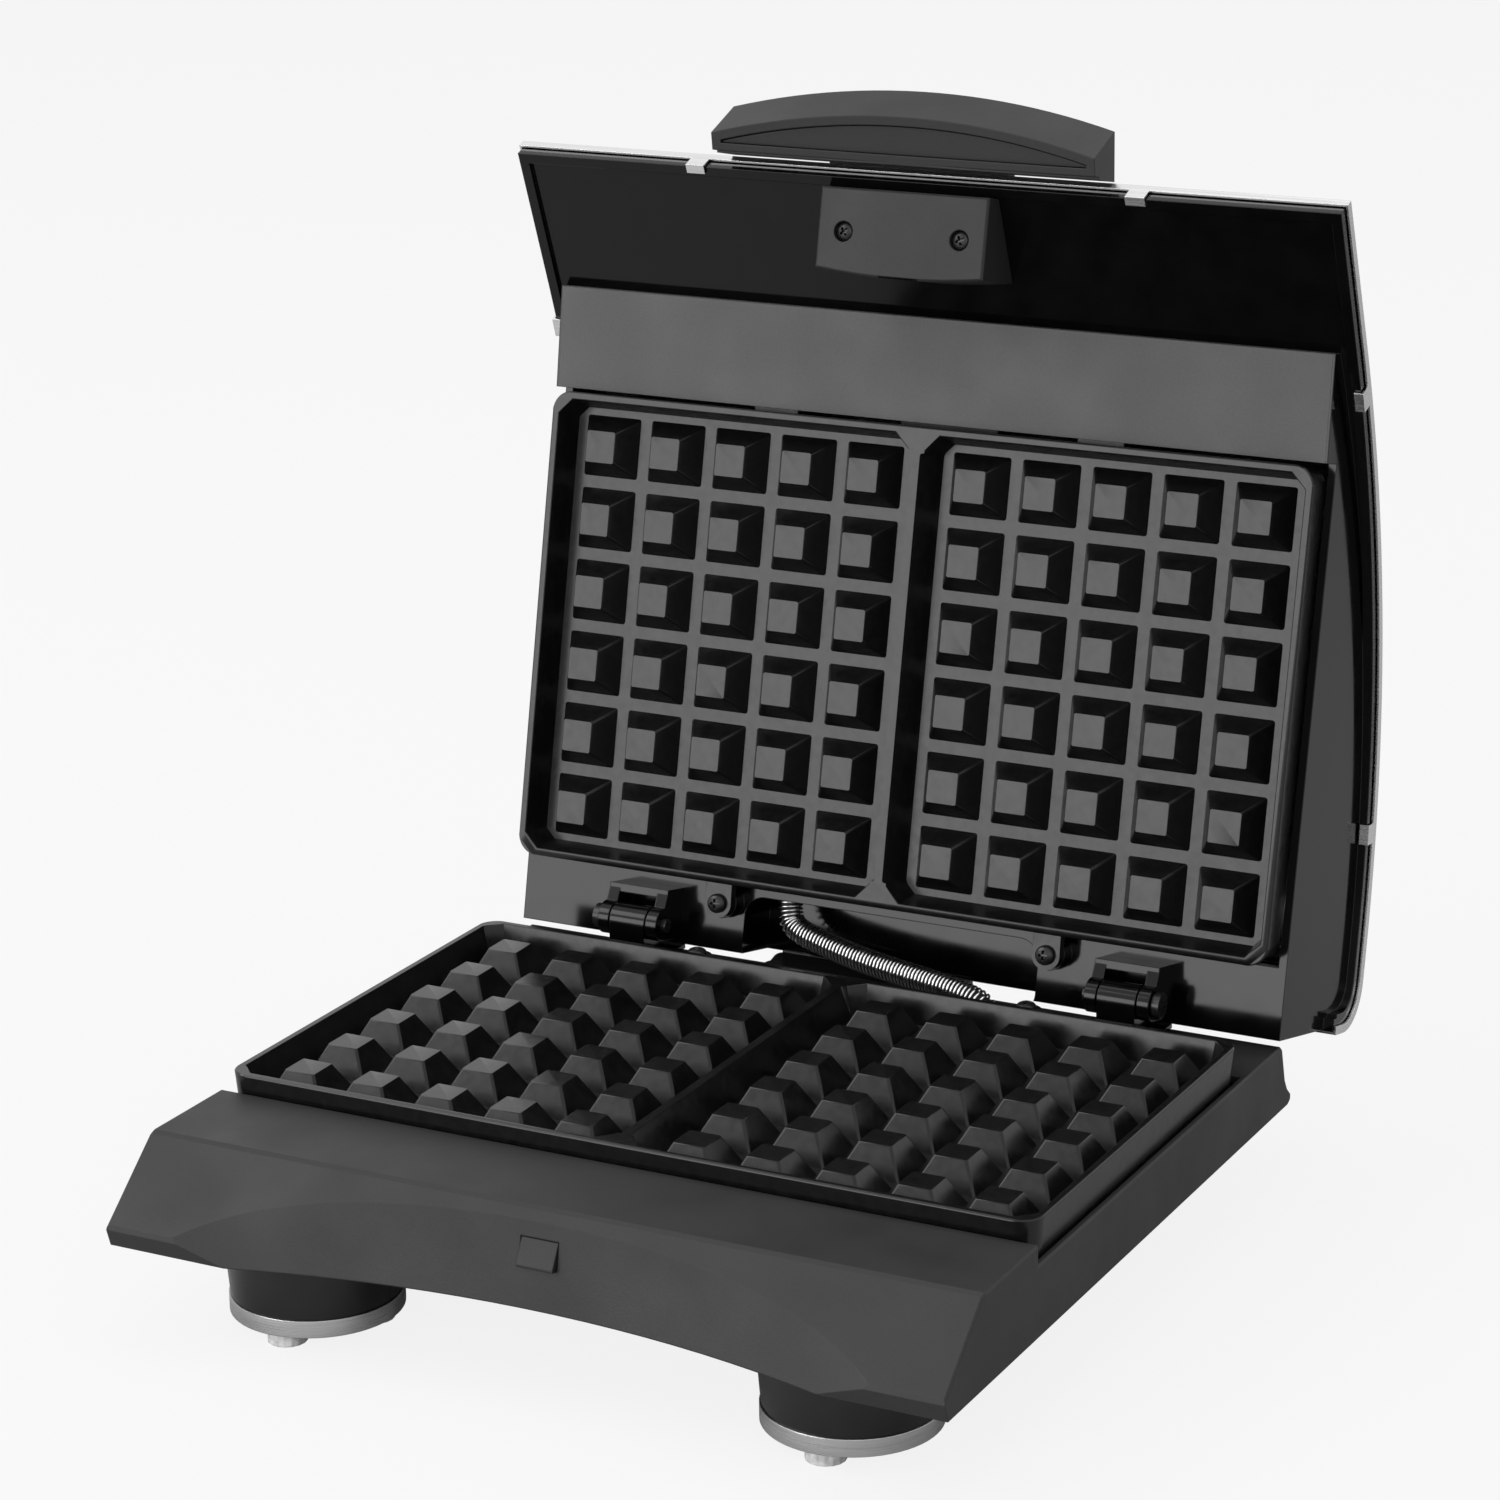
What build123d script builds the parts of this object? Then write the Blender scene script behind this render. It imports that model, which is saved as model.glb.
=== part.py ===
from build123d import *
import os
from math import atan2, copysign, cos, degrees, hypot, pi, radians, sin, sqrt, tan

# Sandwich and waffle maker with a hinged lid, standing open on four feet.
# Millimetres. +Z is up, +Y goes to the rear (the hinge side) and +X to the right of a user in front.
# Everything is laid out around the lower plate: x = 0 is the middle of the machine, y = 0 the middle
# of the plate and z = 0 the channel floor between its pyramids. The last step moves the finished
# model so that its origin is at the bottom centre of its box.

# Waffle plates
cell_pitch = 21.0
cell_columns = 5
cell_rows = 6
waffle_gap = 11.8
pyramid_base = 17.5
pyramid_top = 9.2
pyramid_height = 7.6
well_margin_x = 1.2
well_margin_y = 0.3
well_wall_lean = 2.2
well_corner = 3.0
rim_land = 2.2
rim_corner = 6.0
rim_height = 8.8
rim_edge = 0.4
divider_top = 2.4
plate_floor = 2.6
skirt_below_floor = 2.0
skirt_wall = 3.0
skirt_draft = 5.0

# Plate fixings
ear_x = 51.2
ear_reach = 6.1
ear_width = 8.4
ear_top = 5.6
ear_thickness = 2.8
plate_hook_x = 50.0
plate_hook_width = 14.0
plate_hook_reach = 3.2
plate_hook_thickness = 2.0
plate_post_x = 62.0
plate_post_width = 8.0

# Screws
plate_screw_thread = 3.0
plate_screw_head = 5.6
plate_screw_head_height = 2.2
handle_screw_thread = 3.4
handle_screw_head = 5.3
handle_screw_head_height = 2.4
screw_hole_clearance = 0.2
head_sides = 12
shank_sides = 8
cross_slot_width = 0.8
cross_slot_depth = 0.9

# Heating elements and their reflectors
heater_width = 6.4
heater_depth = 5.6
heater_loop_x = 88.0
heater_loop_y = 46.0
heater_bend = 20.0
heater_end_x = 24.0
heater_pin = 2.8
heater_pin_length = 12.0
shield_drop = 8.0
shield_sheet = 0.5
shield_inset = 5.0
shield_wall = 5.0
lead_slot_half = 9.0
thermostat_diameter = 16.0
thermostat_height = 6.2
thermostat_y = 26.0
fuse_diameter = 4.4
fuse_length = 30.0
fuse_y = -30.0
fuse_clip_width = 8.0
fuse_clip_sheet = 0.8

# Base housing
base_width = 236.0
base_wall = 2.2
front_deck_height = 3.8
front_deck_depth = 31.5
front_deck_gap = 0.8
bevel_run = 21.9
bevel_drop = 18.7
lower_strip_run = 1.8
base_bottom = -20.4
side_wall_top = -1.6
rear_deck_y = 95.0
rear_wall_lean = 3.2
rear_lip_out = 4.4
rear_lip_height = 5.4
rear_lip_corner = 1.8
base_edge_round = 0.9
plate_opening_clearance = 0.5
bottom_cover_thickness = 2.0
bottom_cover_clearance = 0.3
vent_length = 36.0
vent_width = 2.6
vent_pitch = 8.0
vent_count = 7
vent_x = 30.0
vent_y = -18.0

# Arched recess in the front of the base
arch_drop = 4.0
arch_lean = 0.234
arch_top_radius = 640.0
arch_bottom_radius = 290.0

# Latch catch
catch_width = 10.4
catch_height = 6.8
catch_top = -3.1
catch_out = 1.7
catch_plate_margin = 3.0
catch_plate_thickness = 1.6
catch_clearance = 0.25

# Feet
front_foot_x = 77.2
front_foot_y = -87.5
rear_foot_x = 61.0
rear_foot_y = 72.0
foot_height = 16.4
foot_top_diameter = 47.4
foot_bottom_diameter = 44.8
foot_wall = 3.0
foot_floor = 3.0
foot_neck_wall = 1.5
foot_neck_clearance = 0.1
pad_seat = 0.8
foot_ring_diameter = 45.6
foot_ring_height = 4.6
foot_ring_wall = 2.2
foot_spigot_clearance = 0.15
pad_diameter = 10.4
pad_height = 4.6
pad_circle_radius = 14.6
pads_per_foot = 3
pad_sides = 16

# Lid hinge
hinge_y = 82.1
hinge_z = 9.6
lid_open_angle = 102.2
plate_separation = 18.1
hinge_outer_x = 85.6
hinge_width = 19.0
hinge_ear = 3.4
hinge_eye_diameter = 9.6
hinge_pin_diameter = 4.0
hinge_pin_clearance = 0.06
hinge_side_clearance = 0.5
hinge_flange = 1.4
hinge_pin_head_diameter = 7.0
hinge_pin_head = 2.2
hinge_pin_tail = 1.6
hinge_flange_rear = 13.0
lid_hinge_web_v = -72.2
lid_hinge_web = 2.4
lid_hinge_web_w = 7.2

# Lid cover, a thin stainless sheet
cover_width = 248.8
cover_front_v = 137.6
cover_front_w = 23.9
cover_slope = 33.0
cover_flat_run = 44.8
cover_bow_radius = 309.0
cover_top_run = 8.0
cover_rear_radius = 13.0
cover_rear_drop = 6.0
cover_sheet = 0.6
cover_fold = 2.4
cover_clearance = 0.3
tab_width = 5.6
tab_reach = 2.7
tab_clearance = 0.25
front_tab_x = 66.0
side_tab_front_v = 88.4
side_tab_rear_v = -33.6

# Lid liner, the moulded inner shell
liner_face_w = -2.0
liner_face_width = 236.0
liner_side_draft = 3.6
liner_wall = 2.4
liner_edge = 3.4
liner_bead = 1.1
liner_bead_width = 3.0
band_rear_w = 4.3
band_front_w = 6.1
band_front_v = 97.7
band_gap = 0.8
spring_pocket_width = 92.0
spring_pocket_front_v = -71.4
spring_pocket_depth = 16.0

# Handle and the bracket that clamps it
handle_front_v = 158.5
handle_end_v = 151.2
handle_half_width = 57.2
handle_edge_w = 25.3
handle_crease_v = 150.8
handle_crease_w = 37.5
handle_back_v = 138.6
handle_back_w = 33.0
handle_wall = 2.6
handle_root_gap = 0.4
handle_panel_inset = 1.0
handle_panel_thickness = 1.8
handle_panel_clearance = 0.2
handle_tongue_half_width = 27.0
handle_tongue_v = 106.0
handle_tongue_thickness = 3.4
bracket_half_width = 25.2
bracket_rear_v = 108.9
bracket_bulge = 1.6
bracket_front_v = 131.2
bracket_face_w = 31.1
bracket_screw_x = 17.4
bracket_screw_v = 119.2
bracket_edge_round = 0.6
catch_notch_clearance = 0.6

# Pilot lamps in the lid cover
lamp_x = 9.0
lamp_v = 66.0
lamp_lens_diameter = 7.0
lamp_lens_dome = 1.6
lamp_lens_depth = 2.0
lamp_lens_clearance = 0.1

# Wiring: cable spring over the hinge, gland and terminal block
spring_wire = 0.62
spring_coil_radius = 3.35
spring_turns = 20
spring_wire_sides = 4
spring_lid_x = -34.0
spring_lid_w = -6.2
spring_base_x = 37.5
spring_base_y = 77.7
spring_entry = 3.0
spring_sag_x = -6.0
spring_sag_y = 89.0
spring_sag_z = 5.6
spring_low_z = 4.6
spring_hole_clearance = 0.3
gland_x = -38.0
gland_z = -8.3
gland_bore = 7.0
gland_diameter = 10.4
gland_inside = 4.6
gland_outside = 8.0
gland_collar = 12.6
gland_collar_length = 2.0
gland_clearance = 0.15
gland_collar_gap = 0.05
terminal_width = 34.0
terminal_depth = 9.0
terminal_height = 8.5
terminal_x = -2.0
terminal_ways = 3
terminal_wire_slot = 3.2

# Sizes that follow from the driving dimensions
field_half_x = waffle_gap / 2 + cell_columns * cell_pitch
field_half_y = cell_rows * cell_pitch / 2
rim_half_x = field_half_x + well_margin_x + well_wall_lean + rim_land
rim_half_y = field_half_y + well_margin_y + well_wall_lean + rim_land
ear_y = rim_half_y + ear_reach
post_bottom = -plate_floor - shield_drop
base_half = base_width / 2
opening_half_x = rim_half_x - tan(radians(skirt_draft)) * rim_height + plate_opening_clearance
deck_rear_y = -(rim_half_y + front_deck_gap)
deck_front_y = deck_rear_y - front_deck_depth
bevel_bottom_y = deck_front_y - bevel_run
bevel_bottom_z = front_deck_height - bevel_drop
cover_half = cover_width / 2
cover_inner_half = cover_half - cover_sheet
cover_bow_v = cover_front_v - cover_flat_run * cos(radians(cover_slope))
cover_bow_w = cover_front_w - cover_flat_run * sin(radians(cover_slope))
cover_bow_centre_v = cover_bow_v - cover_bow_radius * sin(radians(cover_slope))
cover_bow_centre_w = cover_bow_w + cover_bow_radius * cos(radians(cover_slope))
cover_top_w = cover_bow_centre_w - cover_bow_radius
cover_corner_v = cover_bow_centre_v - cover_top_run
cover_corner_w = cover_top_w + cover_rear_radius
cover_rear_v = cover_corner_v - cover_rear_radius
liner_half = cover_inner_half - cover_clearance
liner_rear_v = cover_rear_v + cover_sheet + cover_clearance
hinge_mid_x = hinge_outer_x - hinge_width / 2
foot_bottom = base_bottom - foot_height
ring_bottom = foot_bottom - foot_ring_height
table_z = ring_bottom - pad_height


def box_between(x0, x1, y0, y1, z0, z1):
    """A block given by its limits along the three axes."""
    size = (abs(x1 - x0), abs(y1 - y0), abs(z1 - z0))
    return Pos((x0 + x1) / 2, (y0 + y1) / 2, (z0 + z1) / 2) * Box(*size)


def upright(radius, x, y, z0, z1):
    """A cylinder along Z between two heights."""
    return Pos(x, y, (z0 + z1) / 2) * Cylinder(radius, abs(z1 - z0))


def cross(radius, x, y, z0, z1, axis):
    """A cylinder along X or Y, with z0 and z1 as its ends along that axis."""
    if axis == "X":
        return Pos((z0 + z1) / 2, x, y) * Rot(0, 90, 0) * Cylinder(radius, abs(z1 - z0))
    return Pos(x, (z0 + z1) / 2, y) * Rot(90, 0, 0) * Cylinder(radius, abs(z1 - z0))


def side_face(points):
    """A face in the side view, its points given as (y, z)."""
    return Plane.YZ * make_face(Polyline(*points, close=True))


def side_prism(points, half_width):
    """A prism across the machine, with its section given as (y, z) points."""
    return extrude(side_face(points), amount=half_width, both=True)


def lid_yz(v, w):
    """Closed lid position of a point at v forward of the plate centre and w out of its floor."""
    return (-v, plate_separation - w)


def lid_prism(points, half_width):
    """A prism across the lid, with its section given as (v, w) points."""
    return side_prism([lid_yz(*point) for point in points], half_width)


def mirrored(shape):
    """The same shape on the other side of the machine."""
    return mirror(shape, about=Plane.YZ)


def both_sides(shape):
    """A list with the shape and its mirror image."""
    return [shape, mirrored(shape)]


def joined(*shapes):
    """One solid fused from the given ones."""
    first, *rest = shapes
    return first.fuse(*rest) if rest else first


def group(solids):
    """Separate solids that share one node."""
    return Compound(children=solids)


def screw(thread, length, head, head_height, slotted=True):
    """A cross-head screw along Z: the head's underside is at z = 0 and the shank hangs below it."""
    crown = extrude(RegularPolygon(head / 2, head_sides), amount=head_height)
    shank = extrude(RegularPolygon(thread / 2, shank_sides), amount=-length)
    if slotted:
        arm = head * 0.62
        for angle in (0, 90):
            slot = Rot(0, 0, angle) * Box(arm, cross_slot_width, 2 * cross_slot_depth)
            crown = crown - Pos(0, 0, head_height) * slot
    return joined(crown, shank)


def cover_slope_at(v):
    """Slope angle of the lid cover, in degrees, at a distance v forward of the plate centre."""
    if v >= cover_bow_v:
        return cover_slope
    return degrees(atan2(v - cover_bow_centre_v, sqrt(cover_bow_radius ** 2 - (v - cover_bow_centre_v) ** 2)))


def cover_outside_w(v):
    """Height w of the lid cover's outer face at a distance v forward of the plate centre."""
    if v >= cover_bow_v:
        return cover_bow_w + (v - cover_bow_v) * tan(radians(cover_slope))
    return cover_bow_centre_w - sqrt(cover_bow_radius ** 2 - (v - cover_bow_centre_v) ** 2)


def cover_line(depth, front_trim, rear_w):
    """The lid cover's side outline, moved in by a depth, from its front edge to its rear edge."""
    slope = radians(cover_slope)
    inward = (-sin(slope), cos(slope))
    back = (-cos(slope), -sin(slope))
    front = (
        cover_front_v + depth * inward[0] + front_trim * back[0],
        cover_front_w + depth * inward[1] + front_trim * back[1],
    )
    bow_start = (cover_bow_v + depth * inward[0], cover_bow_w + depth * inward[1])
    bow_radius = cover_bow_radius - depth
    bow_middle = (
        cover_bow_centre_v + bow_radius * sin(slope / 2),
        cover_bow_centre_w - bow_radius * cos(slope / 2),
    )
    bow_end = (cover_bow_centre_v, cover_top_w + depth)
    corner_start = (cover_corner_v, cover_top_w + depth)
    corner_radius = cover_rear_radius - depth
    corner_middle = (
        cover_corner_v - corner_radius * sin(pi / 4),
        cover_corner_w - corner_radius * cos(pi / 4),
    )
    corner_end = (cover_rear_v + depth, cover_corner_w)
    rear = (cover_rear_v + depth, rear_w)
    return [
        ("line", front, bow_start),
        ("arc", bow_start, bow_middle, bow_end),
        ("line", bow_end, corner_start),
        ("arc", corner_start, corner_middle, corner_end),
        ("line", corner_end, rear),
    ]


def outline_edges(steps):
    """Edges in the side view for a list of lines and arcs given as (v, w) points."""
    edges = []
    for kind, *points in steps:
        placed = [lid_yz(*point) for point in points]
        edges.append(Line(*placed) if kind == "line" else ThreePointArc(*placed))
    return edges


def lid_region(depth, front_trim, rear_w, closing_points, half_width):
    """A prism across the lid between the cover's outline at a depth and a chain of (v, w) points."""
    outline = cover_line(depth, front_trim, rear_w)
    chain = [outline[-1][-1], *closing_points, outline[0][1]]
    closing = [("line", a, b) for a, b in zip(chain, chain[1:])]
    face = make_face(Wire(outline_edges(outline + closing)))
    return extrude(Plane.YZ * face, amount=half_width, both=True)


def cover_strip(outer_depth, inner_depth, front_trim, rear_w, half_width):
    """A bent layer that follows the cover between two depths."""
    outer = cover_line(outer_depth, front_trim, rear_w)
    inner = cover_line(inner_depth, front_trim, rear_w)
    edges = outline_edges(outer + inner)
    edges.append(Line(lid_yz(*outer[0][1]), lid_yz(*inner[0][1])))
    edges.append(Line(lid_yz(*outer[-1][-1]), lid_yz(*inner[-1][-1])))
    return extrude(Plane.YZ * make_face(Wire(edges)), amount=half_width, both=True)


def pyramid():
    """One truncated pyramid that prints a pocket of the waffle."""
    lean = degrees(atan2((pyramid_base - pyramid_top) / 2, pyramid_height))
    return extrude(Rectangle(pyramid_base, pyramid_base), amount=pyramid_height, taper=lean)


def waffle_well():
    """The space of one waffle, with leaning walls and with the pyramids left standing in it."""
    inner_x = waffle_gap / 2 - well_margin_x
    outer_x = field_half_x + well_margin_x
    half_y = field_half_y + well_margin_y
    lean = degrees(atan2(well_wall_lean, rim_height))
    floor = Pos((inner_x + outer_x) / 2, 0) * Rectangle(outer_x - inner_x, 2 * half_y)
    floor = chamfer(floor.vertices(), well_corner)
    well = extrude(floor, amount=rim_height, taper=-lean)
    ridge_cut = Plane.XZ * make_face(Polyline(
        (inner_x, 0), (divider_top / 2, rim_height), (inner_x + well_wall_lean, rim_height), close=True))
    ridge_cut = extrude(ridge_cut, amount=half_y - well_corner, both=True)
    cells = []
    for column in range(cell_columns):
        for row in range(cell_rows):
            x = waffle_gap / 2 + (column + 0.5) * cell_pitch
            y = (row + 0.5) * cell_pitch - field_half_y
            cells.append(Pos(x, y, 0) * pyramid())
    return joined(well, ridge_cut).cut(*cells)


def waffle_plate(ear_side):
    """A cast plate in its own frame, floor at z = 0. Its screw ears are on the ear_side of Y."""
    skirt_bottom = -plate_floor - skirt_below_floor
    rim_sketch = RectangleRounded(2 * rim_half_x, 2 * rim_half_y, rim_corner)
    body = extrude(Plane.XY.offset(rim_height) * rim_sketch, amount=-(rim_height - skirt_bottom),
                   taper=skirt_draft)
    body = chamfer(body.edges().group_by(Axis.Z)[-1], rim_edge)
    hollow_x = 2 * (rim_half_x - skirt_wall - well_wall_lean)
    hollow_y = 2 * (rim_half_y - skirt_wall - well_wall_lean)
    hollow = Pos(0, 0, skirt_bottom) * extrude(Rectangle(hollow_x, hollow_y), amount=skirt_below_floor)
    half_post = plate_post_width / 2
    posts = [
        box_between(x - half_post, x + half_post, -half_post, half_post, post_bottom, -plate_floor)
        for x in (-plate_post_x, plate_post_x)
    ]
    ears = []
    for sx in (-1, 1):
        tongue = box_between(-ear_width / 2, ear_width / 2, rim_half_y - rim_land, ear_y,
                             ear_top - ear_thickness, ear_top)
        tip = upright(ear_width / 2, 0, ear_y, ear_top - ear_thickness, ear_top)
        ears.append(Pos(sx * ear_x, 0, 0) * (tongue + tip))
    hooks = [
        box_between(sx * plate_hook_x - plate_hook_width / 2, sx * plate_hook_x + plate_hook_width / 2,
                    -rim_half_y + rim_land, -rim_half_y - plate_hook_reach,
                    skirt_bottom, skirt_bottom + plate_hook_thickness)
        for sx in (-1, 1)
    ]
    fixings = joined(*ears, *hooks)
    if ear_side < 0:
        fixings = mirror(fixings, about=Plane.XZ)
    plate = body.cut(hollow, *both_sides(waffle_well()))
    plate = joined(plate, fixings, *posts)
    holes = [
        upright(plate_screw_thread / 2 + screw_hole_clearance, sx * ear_x, ear_side * ear_y,
                ear_top - 2 * ear_thickness, ear_top + ear_thickness)
        for sx in (-1, 1)
    ]
    return plate.cut(*holes)


def heater():
    """A tubular element pressed flat against the plate's underside, with its two cold pins."""
    z = -plate_floor - heater_depth / 2
    route = FilletPolyline(
        (heater_end_x, heater_loop_y, z), (heater_loop_x, heater_loop_y, z),
        (heater_loop_x, -heater_loop_y, z), (-heater_loop_x, -heater_loop_y, z),
        (-heater_loop_x, heater_loop_y, z), (-heater_end_x, heater_loop_y, z),
        radius=heater_bend,
    )
    section = Rectangle(heater_width, heater_depth)
    start = Plane(origin=(heater_end_x, heater_loop_y, z), x_dir=(0, 1, 0), z_dir=(1, 0, 0))
    tube = sweep(start * section, path=route)
    half_pin = heater_pin / 2
    pins = [
        box_between(side * heater_end_x, side * (heater_end_x - heater_pin_length),
                    heater_loop_y - half_pin, heater_loop_y + half_pin, z - half_pin, z + half_pin)
        for side in (-1, 1)
    ]
    return joined(tube, *pins)


def heat_shield():
    """A shallow folded reflector under the plate, seated on the plate's posts."""
    half_x = rim_half_x - skirt_wall - well_wall_lean - shield_inset
    half_y = rim_half_y - skirt_wall - well_wall_lean - shield_inset
    top = post_bottom + shield_wall
    tray = box_between(-half_x, half_x, -half_y, half_y, post_bottom - shield_sheet, top)
    tray = chamfer(tray.edges().filter_by(Axis.Z), shield_wall)
    inside = box_between(-half_x + shield_sheet, half_x - shield_sheet, -half_y + shield_sheet,
                         half_y - shield_sheet, post_bottom, top + shield_sheet)
    inside = chamfer(inside.edges().filter_by(Axis.Z), shield_wall)
    lead_slot = box_between(-lead_slot_half, lead_slot_half, heater_loop_y - lead_slot_half / 2,
                            heater_loop_y + lead_slot_half / 2, post_bottom - 2 * shield_sheet, top)
    return tray.cut(inside, lead_slot)


def plate_screws(ear_side):
    """Two cross-head screws through the ears of a plate."""
    length = ear_thickness + 9.0
    one = screw(plate_screw_thread, length, plate_screw_head, plate_screw_head_height)
    return group([Pos(sx * ear_x, ear_side * ear_y, ear_top) * one for sx in (-1, 1)])


def thermostat():
    """A disc thermostat clamped against the lower plate, with two flat terminals."""
    top = -plate_floor
    disc = upright(thermostat_diameter / 2, 0, thermostat_y, top - thermostat_height, top)
    blades = [
        box_between(side * (thermostat_diameter / 2 - 3.0), side * (thermostat_diameter / 2 + 6.0),
                    thermostat_y - 3.1, thermostat_y + 3.1, top - thermostat_height + 0.6,
                    top - thermostat_height + 1.4)
        for side in (-1, 1)
    ]
    return joined(disc, *blades)


def thermal_fuse():
    """A thermal fuse in its sleeve, held to the plate by a folded clip."""
    z = -plate_floor - fuse_clip_sheet - fuse_diameter / 2
    sleeve = cross(fuse_diameter / 2, fuse_y, z, -fuse_length / 2, fuse_length / 2, "X")
    pad = box_between(-fuse_clip_width / 2, fuse_clip_width / 2, fuse_y - fuse_diameter,
                      fuse_y + fuse_diameter, -plate_floor - fuse_clip_sheet - 0.2, -plate_floor)
    return joined(sleeve, pad)


def base_outline():
    """Side outline of the base, clockwise from the rear edge of the front deck."""
    rear_foot_line = rear_deck_y + rear_wall_lean
    lip_top = base_bottom + rear_lip_height
    return [
        (deck_rear_y, front_deck_height),
        (deck_front_y, front_deck_height),
        (bevel_bottom_y, bevel_bottom_z),
        (bevel_bottom_y + lower_strip_run, base_bottom),
        (rear_foot_line + rear_lip_out - rear_lip_corner, base_bottom),
        (rear_foot_line + rear_lip_out, base_bottom + rear_lip_corner),
        (rear_foot_line + 0.4, lip_top),
        (rear_deck_y, side_wall_top),
        (deck_rear_y, side_wall_top),
    ]


def arch_cutter(shift):
    """The scoop in front of the base: its back wall is an arc that tightens towards the bottom."""
    apex_z = front_deck_height - arch_drop * bevel_drop / hypot(bevel_run, bevel_drop)
    apex_y = deck_front_y - arch_drop * bevel_run / hypot(bevel_run, bevel_drop)
    reach = base_half + 6.0
    faces = []
    for z, radius in ((base_bottom - 1.0, arch_bottom_radius), (front_deck_height + 1.0, arch_top_radius)):
        middle = apex_y + (z - apex_z) * arch_lean + shift
        end = middle - radius + sqrt(radius ** 2 - reach ** 2)
        far = bevel_bottom_y - 80.0
        edges = [
            ThreePointArc((-reach, end), (0, middle), (reach, end)),
            Line((reach, end), (reach, far)),
            Line((reach, far), (-reach, far)),
            Line((-reach, far), (-reach, end)),
        ]
        faces.append(Plane.XY.offset(z) * make_face(Wire(edges)))
    return loft(faces, ruled=True)


def base_inside(wall):
    """The space inside the base at a given distance from its outer faces, open at the bottom."""
    lowered = [(y, z - 2 * base_wall if z < base_bottom + 0.1 else z) for y, z in base_outline()]
    room = extrude(Plane.YZ * offset(make_face(Polyline(*lowered, close=True)), amount=-wall),
                   amount=base_half - wall, both=True)
    return room - arch_cutter(wall)


def catch_window(clearance):
    """The opening in the front wall that the latch catch stands in."""
    middle = arch_wall_y(catch_top - catch_height / 2)
    return box_between(-catch_width / 2 - clearance, catch_width / 2 + clearance,
                       middle - 4 * base_wall, middle + 2 * base_wall,
                       catch_top - catch_height - clearance, catch_top + clearance)


def arch_wall_y(z):
    """Where the middle of the scooped front wall lies at a height."""
    apex_z = front_deck_height - arch_drop * bevel_drop / hypot(bevel_run, bevel_drop)
    apex_y = deck_front_y - arch_drop * bevel_run / hypot(bevel_run, bevel_drop)
    return apex_y + (z - apex_z) * arch_lean


def foot_places():
    """Centres of the four feet."""
    return [
        (-front_foot_x, front_foot_y), (front_foot_x, front_foot_y),
        (-rear_foot_x, rear_foot_y), (rear_foot_x, rear_foot_y),
    ]


def base_housing():
    """The moulded upper shell of the base: front deck, bevel with its scoop, walls and rear deck."""
    face = make_face(Polyline(*base_outline(), close=True))
    sharp = [v for v in face.vertices() if v.Y > bevel_bottom_z - 1 and v.X < deck_rear_y - 1 or v.X > rear_deck_y - 1]
    face = chamfer(sharp, base_edge_round)
    shell = extrude(Plane.YZ * face, amount=base_half, both=True)
    sides = shell.faces().sort_by(Axis.X)
    rims = [e for f in (sides[0], sides[-1]) for e in f.edges() if e.center().Z > bevel_bottom_z + 1]
    shell = chamfer(rims, base_edge_round * 0.6)
    shell = shell - arch_cutter(0)
    opening = box_between(-opening_half_x, opening_half_x, deck_rear_y, rim_half_y + front_deck_gap,
                          base_bottom, front_deck_height + 1)
    cover_top = base_bottom + bottom_cover_thickness
    additions = []
    for sx in (-1, 1):
        additions.append(upright(4.6, sx * ear_x, ear_y, cover_top, ear_top - ear_thickness))
    shell = shell.cut(base_inside(base_wall), opening)
    shell = joined(shell, *additions)
    cuts = [catch_window(catch_clearance), *hook_slots()]
    for sx in (-1, 1):
        cuts.append(upright(plate_screw_thread / 2, sx * ear_x, ear_y, ear_top - ear_thickness - 10.5, ear_top))
    cuts.append(gland_frame() * Cylinder(gland_diameter / 2 + gland_clearance, 24.0))
    cuts.append(upright(spring_hole_radius(), spring_base_x, spring_base_y,
                        side_wall_top - 2 * base_wall, side_wall_top + 1))
    return shell.cut(*cuts)


def hook_slots():
    """Slots in the edge of the surround that the plate's two front hooks reach into."""
    low = -plate_floor - skirt_below_floor
    slack = plate_opening_clearance
    return [
        box_between(sx * plate_hook_x - plate_hook_width / 2 - slack, sx * plate_hook_x + plate_hook_width / 2 + slack,
                    deck_rear_y + 1.0, -rim_half_y - plate_hook_reach - slack,
                    low - slack, low + plate_hook_thickness + slack)
        for sx in (-1, 1)
    ]


def spring_hole_radius():
    """Radius of the holes that the cable spring passes through."""
    return spring_coil_radius + spring_wire / 2 + spring_hole_clearance


def base_bottom_cover():
    """The moulding that closes the base from below, with its vents and the holes that the feet sit in."""
    slab = box_between(-base_half, base_half, bevel_bottom_y, rear_deck_y + 12.0, base_bottom,
                       base_bottom + bottom_cover_thickness)
    plate = base_inside(base_wall + bottom_cover_clearance) & slab
    top = base_bottom + bottom_cover_thickness
    cuts = [upright(foot_neck_radius() + foot_neck_clearance, x, y, base_bottom - 1, top + 1)
            for x, y in foot_places()]
    for sx in (-1, 1):
        for index in range(vent_count):
            y = vent_y + (index - (vent_count - 1) / 2) * vent_pitch
            cuts.append(box_between(sx * vent_x - vent_length / 2, sx * vent_x + vent_length / 2,
                                    y - vent_width / 2, y + vent_width / 2, base_bottom - 1, top + 1))
    return plate.cut(*cuts)


def foot_neck_radius():
    """Radius of the neck that seats a foot in the bottom moulding."""
    return foot_bottom_diameter / 2 - foot_wall + foot_neck_wall


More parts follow.
